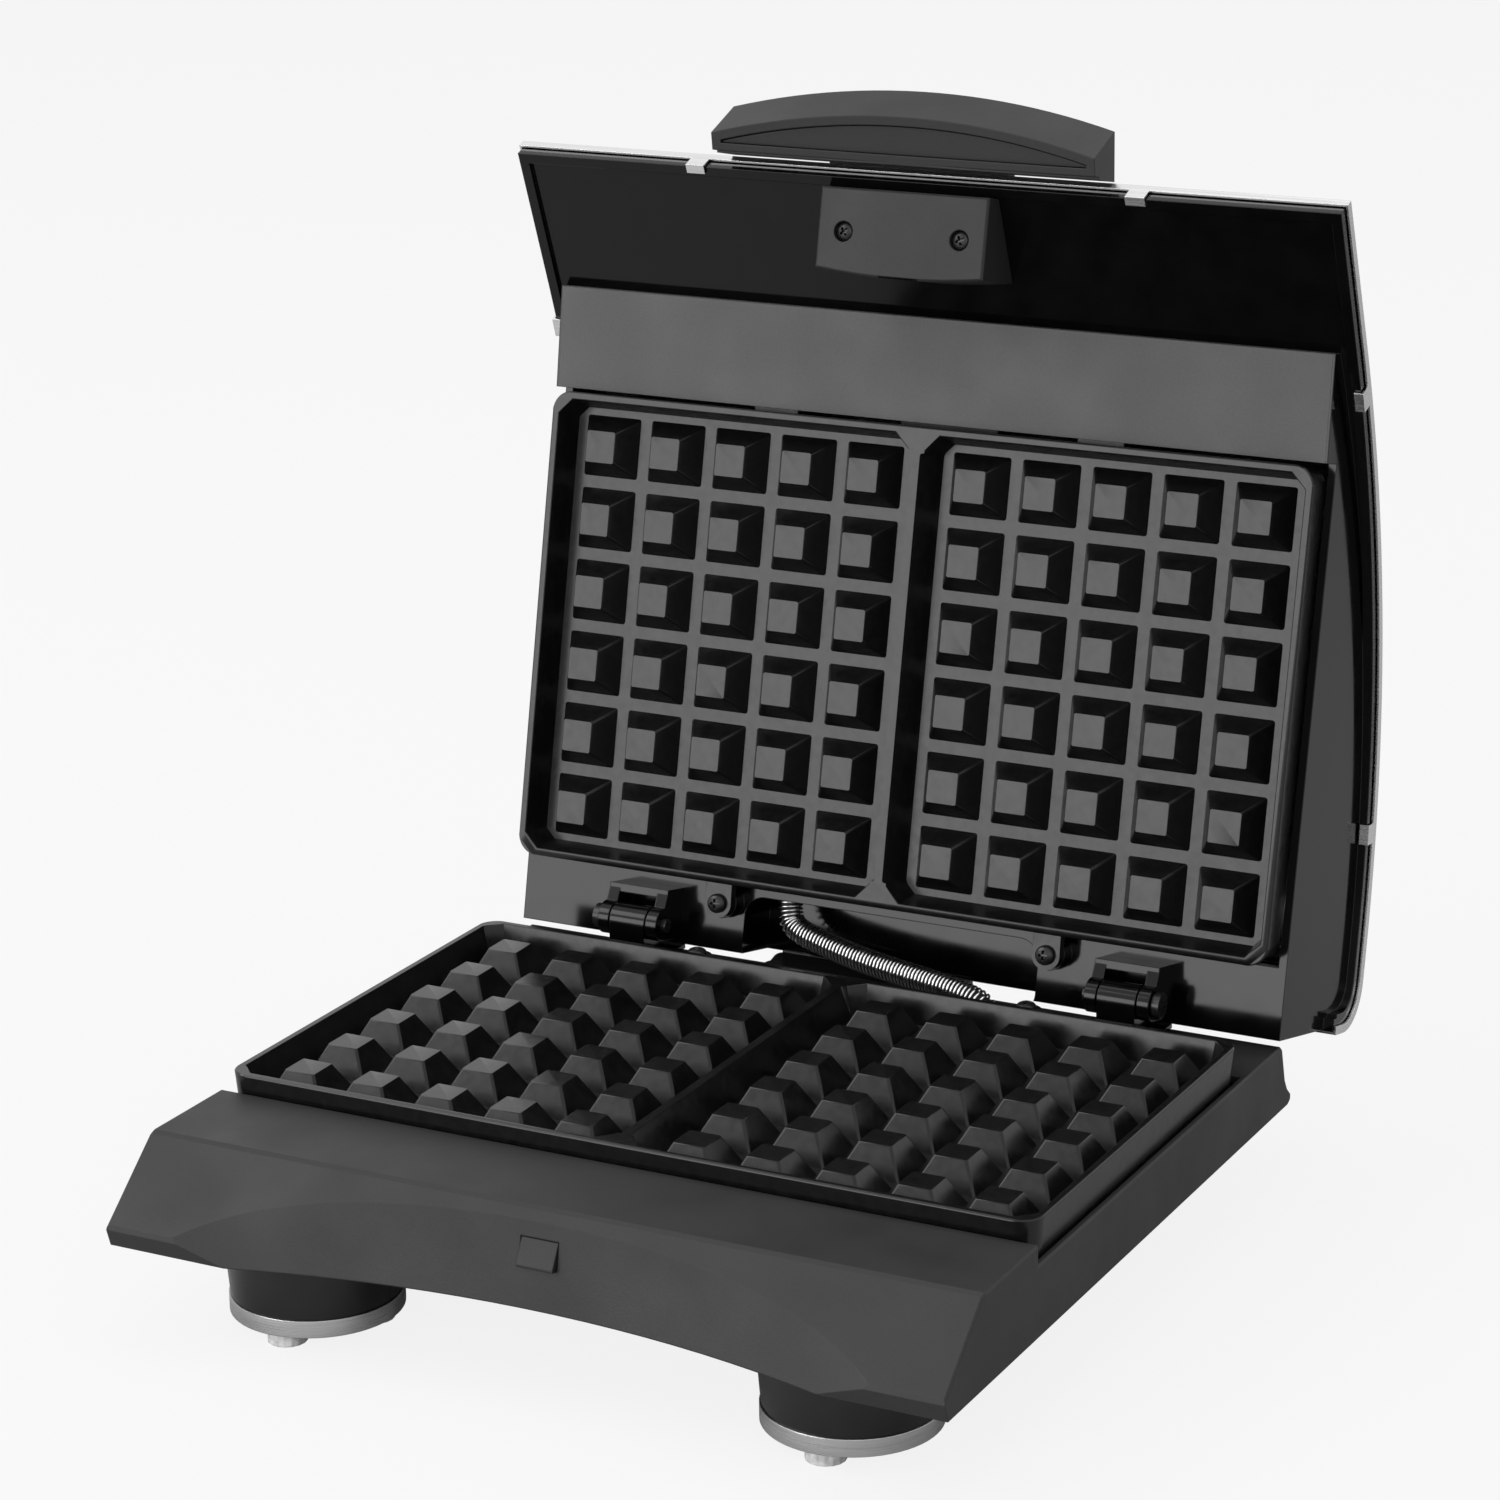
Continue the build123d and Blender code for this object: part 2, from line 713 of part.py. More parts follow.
def feet():
    """The four hollow tapered feet, each with a neck above and a spigot for its ring below."""
    lean = degrees(atan2((foot_top_diameter - foot_bottom_diameter) / 2, foot_height))
    top = base_bottom + bottom_cover_thickness
    stands = []
    for x, y in foot_places():
        cone = Pos(x, y, base_bottom) * extrude(Circle(foot_top_diameter / 2), amount=-foot_height, taper=lean)
        neck = upright(foot_neck_radius(), x, y, base_bottom - foot_floor, top)
        spigot = upright(spigot_radius(), x, y, foot_bottom, ring_bottom + pad_seat)
        hollow = upright(foot_bottom_diameter / 2 - foot_wall, x, y, foot_bottom + foot_floor, top + 1)
        stands.append(joined(cone, neck, spigot).cut(hollow))
    return group(stands)


def spigot_radius():
    """Radius of the round end of a foot that its metal ring is pushed over."""
    return foot_ring_diameter / 2 - foot_ring_wall - foot_spigot_clearance


def latch_catch():
    """The catch that the lid snaps over: a wedge through the front wall on a plate behind it."""
    bottom = catch_top - catch_height
    slant = catch_clearance
    wedge = side_prism([
        (arch_wall_y(catch_top) + base_wall + slant, catch_top),
        (arch_wall_y(catch_top) + 0.1, catch_top),
        (arch_wall_y(bottom) - catch_out, bottom + 0.7),
        (arch_wall_y(bottom) - catch_out, bottom),
        (arch_wall_y(bottom) + base_wall + slant, bottom),
    ], catch_width / 2)
    top = catch_top + catch_plate_margin - 1.0
    low = bottom - catch_plate_margin
    front = base_wall + slant
    back = front + catch_plate_thickness
    flange = side_prism([
        (arch_wall_y(top) + front, top), (arch_wall_y(low) + front, low),
        (arch_wall_y(low) + back, low), (arch_wall_y(top) + back, top),
    ], catch_width / 2 + catch_plate_margin)
    return joined(wedge, flange)


def foot_rings():
    """The brushed metal rings around the bottoms of the feet."""
    rings = []
    for x, y in foot_places():
        outer = upright(foot_ring_diameter / 2, x, y, ring_bottom, foot_bottom)
        rings.append(outer - upright(foot_ring_diameter / 2 - foot_ring_wall, x, y, ring_bottom - 1, foot_bottom + 1))
    return group(rings)


def foot_pads():
    """Three soft pads under each foot, on the end of its spigot."""
    pads = []
    for x, y in foot_places():
        for index in range(pads_per_foot):
            angle = radians(-90 + index * 360 / pads_per_foot)
            spot = Pos(x + pad_circle_radius * cos(angle), y + pad_circle_radius * sin(angle), table_z)
            pads.append(spot * extrude(RegularPolygon(pad_diameter / 2, pad_sides),
                                       amount=ring_bottom + pad_seat - table_z))
    return group(pads)


def base_hinge_bracket():
    """The right base bracket: a flange on the rear deck and a barrel around the pin."""
    half = hinge_width / 2 - hinge_ear - hinge_side_clearance
    flange = box_between(hinge_outer_x - hinge_width, hinge_outer_x, hinge_y - 6.0,
                         hinge_y + hinge_flange_rear, side_wall_top, side_wall_top + hinge_flange)
    barrel = cross(hinge_eye_diameter / 2, hinge_y, hinge_z, hinge_mid_x - half, hinge_mid_x + half, "X")
    stem = box_between(hinge_mid_x - half, hinge_mid_x + half, hinge_y - hinge_eye_diameter / 2,
                       hinge_y + hinge_eye_diameter / 2, side_wall_top, hinge_z)
    bracket = joined(flange, barrel, stem)
    cuts = [cross(hinge_pin_diameter / 2 + hinge_pin_clearance, hinge_y, hinge_z,
                  hinge_outer_x - 2 * hinge_width, hinge_outer_x + hinge_width, "X")]
    return bracket.cut(*cuts)


def lid_hinge_bracket():
    """The right lid bracket: a flange on the liner, two ears and the web that shields the knuckle."""
    x0 = hinge_outer_x - hinge_width
    y0, z0 = lid_yz(lid_hinge_web_v, liner_face_w)
    flange = box_between(x0, hinge_outer_x, y0, hinge_y + hinge_eye_diameter / 2, z0 - hinge_flange, z0)
    web = box_between(x0, hinge_outer_x, y0, y0 + lid_hinge_web, plate_separation - lid_hinge_web_w, z0)
    ears = []
    for start in (x0, hinge_outer_x - hinge_ear):
        eye = cross(hinge_eye_diameter / 2, hinge_y, hinge_z, start, start + hinge_ear, "X")
        arm = side_prism([
            (hinge_y - hinge_eye_diameter / 2, hinge_z), (y0 + lid_hinge_web / 2, plate_separation - lid_hinge_web_w),
            (y0 + lid_hinge_web / 2, z0), (hinge_y + hinge_eye_diameter / 2, z0),
            (hinge_y + hinge_eye_diameter / 2, hinge_z),
        ], hinge_ear / 2)
        ears.append(joined(eye, Pos(start + hinge_ear / 2, 0, 0) * arm))
    bracket = joined(flange, web, *ears)
    cuts = [cross(hinge_pin_diameter / 2 + hinge_pin_clearance, hinge_y, hinge_z,
                  x0 - hinge_width, hinge_outer_x + hinge_width, "X")]
    return bracket.cut(*cuts)


def hinge_pins():
    """The two hinge pins, each with its head on the outer side of its hinge."""
    inner = hinge_outer_x - hinge_width - hinge_pin_tail
    head_start = hinge_outer_x + hinge_side_clearance / 2
    shank = cross(hinge_pin_diameter / 2, hinge_y, hinge_z, inner, head_start, "X")
    head = cross(hinge_pin_head_diameter / 2, hinge_y, hinge_z, head_start, head_start + hinge_pin_head, "X")
    return group(both_sides(joined(shank, head)))


def folded_tab(plane_origin, slope, outward):
    """A folded tab in a frame whose X points outwards and Z out of the cover."""
    drop = cover_sheet + cover_clearance + liner_edge + liner_bead + tab_clearance
    leg = Pos(-cover_sheet / 2, 0, -drop / 2) * Box(cover_sheet, tab_width, drop)
    hook = Pos(-tab_reach / 2, 0, -drop - cover_sheet / 2) * Box(tab_reach, tab_width, cover_sheet)
    frame = Plane(origin=plane_origin, x_dir=outward, z_dir=slope)
    return frame * (leg + hook)


def lid_cover():
    """The bowed stainless sheet on the lid, folded down all round, with six tabs over the liner."""
    rear_end = cover_corner_w + cover_rear_drop
    blank = cover_strip(0, cover_fold, 0, rear_end, cover_half)
    inside = cover_strip(cover_sheet, cover_fold + 5.0, cover_sheet, rear_end + 10.0, cover_inner_half)
    sheet = blank - inside
    tabs = []
    for v in (side_tab_front_v, side_tab_rear_v):
        angle = radians(cover_slope_at(v))
        y, z = lid_yz(v, cover_outside_w(v))
        up = (0, -sin(angle), cos(angle))
        tabs += both_sides(folded_tab((cover_half, y, z), up, (1, 0, 0)))
    angle = radians(cover_slope)
    y, z = lid_yz(cover_front_v, cover_front_w)
    forward = (0, -cos(angle), -sin(angle))
    up = (0, -sin(angle), cos(angle))
    for sx in (-1, 1):
        tabs.append(folded_tab((sx * front_tab_x, y, z), up, forward))
    sheet = joined(sheet, *tabs)
    cuts = []
    for sx in (-1, 1):
        y, z = lid_yz(bracket_screw_v, cover_outside_w(bracket_screw_v))
        cuts.append(upright(handle_screw_thread / 2 + screw_hole_clearance, sx * bracket_screw_x, y, z - 8.0, z + 8.0))
        y, z = lid_yz(lamp_v, cover_outside_w(lamp_v))
        hole = Rot(cover_slope_at(lamp_v), 0, 0) * Cylinder(lamp_lens_diameter / 2, 8 * cover_sheet)
        cuts.append(Pos(sx * lamp_x, y, z) * hole)
    return sheet.cut(*cuts)


def lid_liner():
    """The moulded inner shell: plate surround, front band, hood, drafted sides and edge bead."""
    depth = cover_sheet + cover_clearance
    rear_end = cover_corner_w + cover_rear_drop
    skin = cover_strip(depth, depth + liner_edge, depth, rear_end, liner_half)
    beads = bead_ring(depth)
    block = drafted_block(depth)
    liner = joined(skin, block, *beads)
    opening = box_between(-opening_half_x, opening_half_x, -rim_half_y - front_deck_gap, rim_half_y + front_deck_gap,
                          plate_separation - 30.0, plate_separation - liner_face_w + 2 * liner_wall)
    slots = [on_lid_plate(mirror(slot, about=Plane.XZ)) for slot in hook_slots()]
    liner = liner.cut(liner_hollow(depth), opening, *slots)
    additions = []
    face_z = plate_separation - liner_face_w
    for sx in (-1, 1):
        additions.append(upright(4.6, sx * ear_x, ear_y, plate_separation - ear_top + ear_thickness, face_z + 6.0))
    liner = joined(liner, *additions)
    cuts = []
    for sx in (-1, 1):
        cuts.append(upright(plate_screw_thread / 2, sx * ear_x, ear_y, plate_separation - ear_top,
                            plate_separation - ear_top + ear_thickness + 10.5))
        y, z = lid_yz(bracket_screw_v, cover_outside_w(bracket_screw_v))
        cuts.append(upright(handle_screw_thread / 2 + screw_hole_clearance, sx * bracket_screw_x, y, z - 12.0, z + 8.0))
    y, z = lid_yz(spring_pocket_front_v, spring_lid_w)
    cuts.append(cross(spring_hole_radius(), spring_lid_x, z, y - 2 * liner_wall, y + 1, "Y"))
    return liner.cut(*cuts)


def bead_ring(depth):
    """The raised bead along both sides and the front of the liner's edge."""
    inner = depth + liner_edge
    rear_end = cover_corner_w + cover_rear_drop
    side = cover_strip(inner - 0.2, inner + liner_bead, depth, rear_end - 2.0, liner_half)
    middle = cover_strip(inner - 1.0, inner + liner_bead + 1.0, depth + liner_bead_width, rear_end + 4.0,
                         liner_half - liner_bead_width)
    return [side - middle]


def drafted_room(inset):
    """The space between the liner's leaning sides, moved in by an inset."""
    length = band_front_v - liner_rear_v + 2.0
    centre_v = (band_front_v + liner_rear_v) / 2
    width = liner_face_width - 2 * inset
    foot = Plane.XY.offset(plate_separation - band_front_w - 1.0) * Pos(0, -centre_v)
    rise = band_front_w - cover_top_w + 2.0
    lean = tan(radians(liner_side_draft))
    narrow = foot * Rectangle(width, length)
    wide = foot * Pos(0, 0, rise) * Rectangle(width + 2 * rise * lean, length)
    return loft([narrow, wide], ruled=True)


def drafted_block(depth):
    """The deep part of the liner around the plate, its sides leaning out towards the cover."""
    block = drafted_room(0) & box_between(-base_width, base_width, -band_front_v, -liner_rear_v, -100, 200)
    face_drop = box_between(-base_width, base_width, -(rim_half_y + band_gap) , 200.0,
                            plate_separation - band_front_w - 1, plate_separation - liner_face_w)
    band_top = lid_prism([
        (rim_half_y, band_rear_w), (band_front_v + 1.0, band_front_w + (1.0 + 0.0) * 0.066),
        (band_front_v + 1.0, band_front_w + 20.0), (rim_half_y, band_front_w + 20.0),
    ], base_width)
    block = block.cut(face_drop, band_top)
    envelope = lid_region(depth, depth, 20.0, [(cover_front_v - 1.0, 60.0)], cover_half)
    return block & envelope


def liner_hollow(depth):
    """The room inside the lid between the liner and the cover, open towards the cover."""
    wall = liner_wall
    front = band_front_v - wall
    rear = liner_rear_v + wall
    floor_w = liner_face_w - wall
    top = cover_top_w - 30.0
    pocket_v = spring_pocket_front_v + wall
    pocket_w = liner_face_w - spring_pocket_depth - wall
    room = lid_prism([
        (front, band_rear_w - wall), (rim_half_y + band_gap + wall, band_rear_w - wall),
        (rim_half_y + band_gap + wall, floor_w), (rear, floor_w), (rear, cover_corner_w),
        (rear + 8.0, top), (front - 12.0, top),
        (front - 12.0, cover_outside_w(front - 12.0) + depth + 4.0), (front, cover_outside_w(front) + depth + 4.2),
    ], base_width)
    room = room & drafted_room(wall)
    keep = lid_prism([
        (pocket_v, floor_w + 1.0), (pocket_v, pocket_w), (rear - 1.0, pocket_w), (rear - 1.0, floor_w + 1.0),
    ], spring_pocket_width / 2 + wall)
    return room - keep


def cut_spring_pocket(liner):
    """The pocket at the rear of the liner where the spring enters, open to the rear and to the plate."""
    pocket = lid_prism([
        (spring_pocket_front_v, liner_face_w + 2.0), (spring_pocket_front_v, liner_face_w - spring_pocket_depth),
        (liner_rear_v - 4.0, liner_face_w - spring_pocket_depth), (liner_rear_v - 4.0, liner_face_w + 2.0),
    ], spring_pocket_width / 2)
    corners = pocket.edges().filter_by(Axis.Z)
    return liner - fillet(corners, 6.0)


def handle_arc_centre():
    """Centre line and radius of the handle's curved front, from its middle and its ends."""
    rise = handle_front_v - handle_end_v
    radius = (handle_half_width ** 2 + rise ** 2) / (2 * rise)
    return handle_front_v - radius, radius


def handle_ring(section, half_width):
    """A piece of the curved handle with a (v, w) section at its middle, turned about its centre."""
    centre_v, radius = handle_arc_centre()
    spread = degrees(2.3 * handle_half_width / radius)
    face = side_face([lid_yz(*point) for point in section])
    axis = Axis((0, -centre_v, 0), (0, 0, 1))
    turned = revolve(Rot(0, 0, 0) * face, axis=axis, revolution_arc=spread / 2)
    ring = joined(turned, mirrored(turned))
    slab = box_between(-half_width, half_width, -400.0, 0.0, -200.0, 200.0)
    return ring & slab


def handle():
    """The curved grip, hollow from below, with a tongue that lies on the cover behind it."""
    tongue_top_w = cover_outside_w(handle_back_v) - handle_tongue_thickness / cos(radians(cover_slope))
    root_v = cover_front_v + handle_root_gap
    grip = handle_ring([
        (root_v - 8.0, tongue_top_w - 2.0), (handle_front_v, handle_edge_w), (handle_crease_v, handle_crease_w),
        (handle_back_v - 6.0, handle_back_w - 2.2),
    ], handle_half_width)
    behind = box_between(-200, 200, -root_v, 0, -100, 200)
    grip = grip - behind
    under = lid_prism([(root_v - 1, handle_back_w), (handle_back_v, handle_back_w),
                       (handle_back_v, 80.0), (root_v - 1, 80.0)], base_width)
    grip = grip - under
    hollow = handle_ring(handle_room(), handle_half_width - handle_wall - 2.0)
    mouth = handle_ring(handle_mouth(handle_panel_clearance), handle_half_width - handle_wall)
    front_keep = box_between(-200, 200, -(root_v + handle_wall), 0, -100, 200)
    grip = grip - (hollow - front_keep) - (mouth - front_keep)
    tongue = cover_strip(-handle_tongue_thickness - cover_clearance, -cover_clearance, -3.0, 0.0,
                         handle_tongue_half_width)
    limits = box_between(-base_width, base_width, -(root_v + 0.5), -handle_tongue_v, -100, 200)
    body = joined(grip, tongue & limits)
    tip = handle_screw_tip()
    cuts = [
        upright(handle_screw_thread / 2, sx * bracket_screw_x, -bracket_screw_v, tip - 12.0, tip)
        for sx in (-1, 1)
    ]
    return body.cut(*cuts)


def handle_room():
    """Section of the hollow inside the grip."""
    return [
        (root_v_inside(), handle_edge_w - 1.4), (handle_front_v - 4.4, handle_edge_w + 1.8),
        (handle_crease_v - 4.0, handle_crease_w - 4.0), (root_v_inside(), handle_back_w - 3.6),
    ]


def root_v_inside():
    """Where the hollow of the grip starts, behind its root wall."""
    return cover_front_v + handle_root_gap + handle_wall


def handle_panel_w(v, inset):
    """Height of the grip's underside at a distance v, less an inset."""
    slope = (handle_crease_w - handle_back_w) / (handle_crease_v - handle_back_v)
    return handle_back_w + (v - handle_back_v) * slope - inset


def handle_mouth(clearance):
    """Section of the seat that the closing panel lies in."""
    rear = handle_back_v - 8.0
    front = handle_crease_v - handle_wall + clearance
    seat = handle_panel_inset + handle_panel_thickness + clearance
    return [
        (rear, handle_panel_w(rear, seat)), (front, handle_panel_w(front, seat)),
        (front, handle_crease_w + 8.0), (rear, handle_crease_w + 8.0),
    ]


def handle_panel():
    """The recessed panel that closes the grip from below."""
    rear = handle_back_v - 8.0
    front = handle_crease_v - handle_wall
    seat = handle_panel_inset + handle_panel_thickness
    panel = handle_ring([
        (rear, handle_panel_w(rear, seat)), (front, handle_panel_w(front, seat)),
        (front, handle_panel_w(front, handle_panel_inset)), (rear, handle_panel_w(rear, handle_panel_inset)),
    ], handle_half_width - handle_wall - handle_panel_clearance)
    front_keep = box_between(-200, 200, -(root_v_inside() + handle_panel_clearance), 0, -100, 200)
    return panel - front_keep


def hood_inside_w(v):
    """Height of the hood's inner face at a distance v in the straight front of the lid."""
    depth = cover_sheet + cover_clearance + liner_edge
    return cover_outside_w(v) + depth / cos(radians(cover_slope))


def handle_bracket():
    """The block inside the hood that the handle's screws clamp, with its bowed rear edge."""
    z_face = plate_separation - bracket_face_w
    chord = [(-bracket_half_width, -bracket_rear_v), (bracket_half_width, -bracket_rear_v)]
    bulged = ThreePointArc(chord[0], (0, -bracket_rear_v + bracket_bulge), chord[1])
    edges = [
        bulged,
        Line(chord[1], (bracket_half_width, -bracket_front_v)),
        Line((bracket_half_width, -bracket_front_v), (-bracket_half_width, -bracket_front_v)),
        Line((-bracket_half_width, -bracket_front_v), chord[0]),
    ]
    block = extrude(Plane.XY.offset(z_face) * make_face(Wire(edges)), amount=60.0)
    block = chamfer(block.edges().group_by(Axis.Z)[0], bracket_edge_round)
    above = lid_prism([
        (200.0, hood_inside_w_line(200.0) + 0.05), (20.0, hood_inside_w_line(20.0) + 0.05),
        (20.0, -200.0), (200.0, -200.0),
    ], base_width)
    block = block - above
    notch_v = -(arch_wall_y(catch_top - catch_height) - catch_out - catch_notch_clearance)
    notch = box_between(-catch_width / 2 - catch_notch_clearance, catch_width / 2 + catch_notch_clearance,
                        -notch_v, -bracket_rear_v + 8.0, z_face - 1, 100.0)
    cuts = [notch]
    for sx in (-1, 1):
        cuts.append(upright(handle_screw_thread / 2 + screw_hole_clearance, sx * bracket_screw_x,
                            -bracket_screw_v, z_face - 1, 100.0))
        cuts.append(upright(handle_screw_head / 2 + screw_hole_clearance, sx * bracket_screw_x,
                            -bracket_screw_v, z_face - 1, z_face + handle_screw_head_height))
    return block.cut(*cuts)


def hood_inside_w_line(v):
    """The hood's straight inner face carried on past the place where the cover starts to bow."""
    depth = cover_sheet + cover_clearance + liner_edge
    straight = cover_bow_w + (v - cover_bow_v) * tan(radians(cover_slope))
    return straight + depth / cos(radians(cover_slope))


def handle_screw_tip():
    """Height of the screw tips, short of the outer face of the handle's tongue."""
    return plate_separation - cover_outside_w(bracket_screw_v) + handle_tongue_thickness - 1.2


def handle_screws():
    """The two screws in the face of the bracket that reach up into the handle's tongue."""
    seat = plate_separation - bracket_face_w + handle_screw_head_height
    one = Rot(180, 0, 0) * screw(handle_screw_thread, handle_screw_tip() - seat, handle_screw_head,
                                 handle_screw_head_height - 0.2)
    return group([Pos(sx * bracket_screw_x, -bracket_screw_v, seat) * one for sx in (-1, 1)])


def lamp_lens(side):
    """A small lens that stands in a hole of the cover."""
    y, z = lid_yz(lamp_v, cover_outside_w(lamp_v))
    under = -cover_sheet - lamp_lens_depth
    stem = upright(lamp_lens_diameter / 2 - lamp_lens_clearance, 0, 0, under, lamp_lens_dome)
    stem = chamfer(stem.edges().sort_by(Axis.Z)[-1], lamp_lens_dome * 0.6)
    return Pos(side * lamp_x, y, z) * Rot(cover_slope_at(lamp_v), 0, 0) * stem


def spring_route():
    """Centre line of the cable spring, from inside the lid to inside the base, with the lid open."""
    y0, z0 = opened_point(spring_pocket_front_v + spring_entry, spring_lid_w)
    y1, z1 = opened_point(spring_pocket_front_v - 8.0, spring_lid_w)
    points = [
        (spring_lid_x, y0, z0), (spring_lid_x, y1, z1),
        (spring_sag_x, spring_sag_y, spring_sag_z),
        (spring_base_x, spring_base_y, spring_low_z),
        (spring_base_x, spring_base_y, side_wall_top - spring_entry),
    ]
    return FilletPolyline(*points, radius=spring_bend_radii(points))


def spring_bend_radii(points):
    """The largest arcs that the runs of a route allow. An end run serves one bend, the others two."""
    radii = []
    last = len(points) - 2
    for index in range(1, len(points) - 1):
        run_in = Vector(*points[index]) - Vector(*points[index - 1])
        run_out = Vector(*points[index + 1]) - Vector(*points[index])
        room_in = run_in.length * (0.95 if index == 1 else 0.47)
        room_out = run_out.length * (0.95 if index == last else 0.47)
        turn = radians(run_in.get_angle(run_out))
        radii.append(min(room_in, room_out) / tan(turn / 2))
    print("spring bend radii", [round(radius, 1) for radius in radii])
    return radii


def opened_point(v, w):
    """Open-lid position (y, z) of a point given in the lid's own v and w."""
    y, z = lid_yz(v, w)
    angle = radians(lid_open_angle)
    dy, dz = y - hinge_y, z - hinge_z
    return (hinge_y + dy * cos(angle) + dz * sin(angle), hinge_z - dy * sin(angle) + dz * cos(angle))


def helix_stations(route, turns, radius):
    """Points and directions of a helix about a route, two for each turn."""
    stations = []
    side = None
    steps = 2 * turns
    pitch = route.length / turns
    for step in range(steps + 1):
        centre = route.position_at(step / steps)
        along = route.tangent_at(step / steps)
        if side is None:
            side = along.cross(Vector(0, 1, 0)).normalized()
        side = (side - along * side.dot(along)).normalized()
        other = along.cross(side)
        phase = pi * step
        arm = side * cos(phase) + other * sin(phase)
        sweep_way = other * cos(phase) - side * sin(phase)
        heading = (along * pitch + sweep_way * (2 * pi * radius)).normalized()
        stations.append((centre + arm * radius, heading))
    return stations


def biarc(start, start_way, end, end_way):
    """Two tangent arcs between two points with given directions."""
    chord = end - start
    ways = start_way + end_way
    spread = 2 * (1 - start_way.dot(end_way))
    reach = (-chord.dot(ways) + sqrt(chord.dot(ways) ** 2 + spread * chord.dot(chord))) / spread
    joint = (start + end + (start_way - end_way) * reach) * 0.5
    first = TangentArc(start, joint, tangent=start_way)
    second = TangentArc(joint, end, tangent=first % 1)
    return [first, second]


def least_gap(path, turns, wire):
    """Smallest clear distance between neighbouring turns, measured on points along the wire."""
    per_turn = 24
    count = turns * per_turn
    points = [path.position_at(index / count) for index in range(count + 1)]
    nearest = 1e9
    for index, point in enumerate(points):
        for other in points[index + per_turn // 2: index + 3 * per_turn // 2]:
            nearest = min(nearest, (point - other).length)
    return nearest - wire


def cable_spring():
    """The open coil spring that guards the leads where they cross the hinge."""
    route = spring_route()
    stations = helix_stations(route, spring_turns, spring_coil_radius)
    edges = []
    for (start, start_way), (end, end_way) in zip(stations, stations[1:]):
        edges += biarc(start, start_way, end, end_way)
    path = Wire(edges)
    start, heading = stations[0]
    section = Plane(origin=start, z_dir=heading) * RegularPolygon(spring_wire / 2, spring_wire_sides)
    print("spring", spring_turns, "turns, least gap", round(least_gap(path, spring_turns, spring_wire), 2))
    return sweep(section, path=path, clean=False)


def gland_frame():
    """A frame on the outside of the leaning rear wall, its Z pointing out of the wall."""
    rise = side_wall_top - (base_bottom + rear_lip_height)
    lean = atan2(rear_wall_lean + 0.4, rise)
    y = rear_deck_y + (side_wall_top - gland_z) * tan(lean)
    return Plane(origin=(gland_x, y, gland_z), x_dir=(1, 0, 0), z_dir=(0, cos(lean), sin(lean)))


def cord_gland():
    """The strain-relief bush in the rear wall, where the mains lead would enter."""
    body = upright(gland_diameter / 2, 0, 0, -base_wall - gland_inside, gland_outside)
    collar = upright(gland_collar / 2, 0, 0, gland_collar_gap, gland_collar_length)
    bore = upright(gland_bore / 2, 0, 0, -20.0, 20.0)
    return gland_frame() * (joined(body, collar) - bore)


def terminal_block():
    """The block that joins the mains lead to the inner wiring, standing on the bottom cover."""
    floor = base_bottom + bottom_cover_thickness
    y = rear_deck_y - 16.0
    block = box_between(terminal_x - terminal_width / 2, terminal_x + terminal_width / 2,
                        y - terminal_depth / 2, y + terminal_depth / 2, floor, floor + terminal_height)
    cuts = []
    step = terminal_width / (terminal_ways + 1)
    for index in range(terminal_ways):
        x = terminal_x - terminal_width / 2 + (index + 1) * step
        cuts.append(box_between(x - terminal_wire_slot / 2, x + terminal_wire_slot / 2, y - terminal_depth,
                                y + terminal_depth, floor + 1.6, floor + 1.6 + terminal_wire_slot))
    return block.cut(*cuts)


def on_lid_plate(shape):
    """Move a shape from the plate's own frame to the upper plate of the closed lid."""
    return Pos(0, 0, plate_separation) * Rot(180, 0, 0) * shape


def opened(shape):
    """Swing a closed lid part about the hinge to the open pose."""
    return shape.rotate(Axis((0, hinge_y, hinge_z), (1, 0, 0)), -lid_open_angle)


def base_parts():
    """All nodes of the base body."""
    return {
        "base_housing": base_housing(),
        "base_bottom_cover": base_bottom_cover(),
        "feet": feet(),
        "foot_rings": foot_rings(),
        "foot_pads": foot_pads(),
        "lower_plate": waffle_plate(1),
        "lower_plate_screws": plate_screws(1),
        "lower_heater": heater(),
        "lower_heat_shield": heat_shield(),
        "thermostat": thermostat(),
        "latch_catch": latch_catch(),
        "base_hinge_brackets": group(both_sides(base_hinge_bracket())),
        "hinge_pins": hinge_pins(),
        "cord_gland": cord_gland(),
        "terminal_block": terminal_block(),
    }


def lid_parts():
    """All nodes of the lid body, in the closed pose."""
    return {
        "lid_liner": cut_spring_pocket(lid_liner()),
        "lid_cover": lid_cover(),
        "upper_plate": on_lid_plate(waffle_plate(-1)),
        "upper_plate_screws": on_lid_plate(plate_screws(-1)),
        "upper_heater": on_lid_plate(mirror(heater(), about=Plane.XZ)),
        "upper_heat_shield": on_lid_plate(mirror(heat_shield(), about=Plane.XZ)),
        "thermal_fuse": on_lid_plate(thermal_fuse()),
        "lid_hinge_brackets": group(both_sides(lid_hinge_bracket())),
        "handle": handle(),
        "handle_panel": handle_panel(),
        "handle_bracket": handle_bracket(),
        "handle_screws": handle_screws(),
        "power_lamp_lens": lamp_lens(-1),
        "ready_lamp_lens": lamp_lens(1),
    }


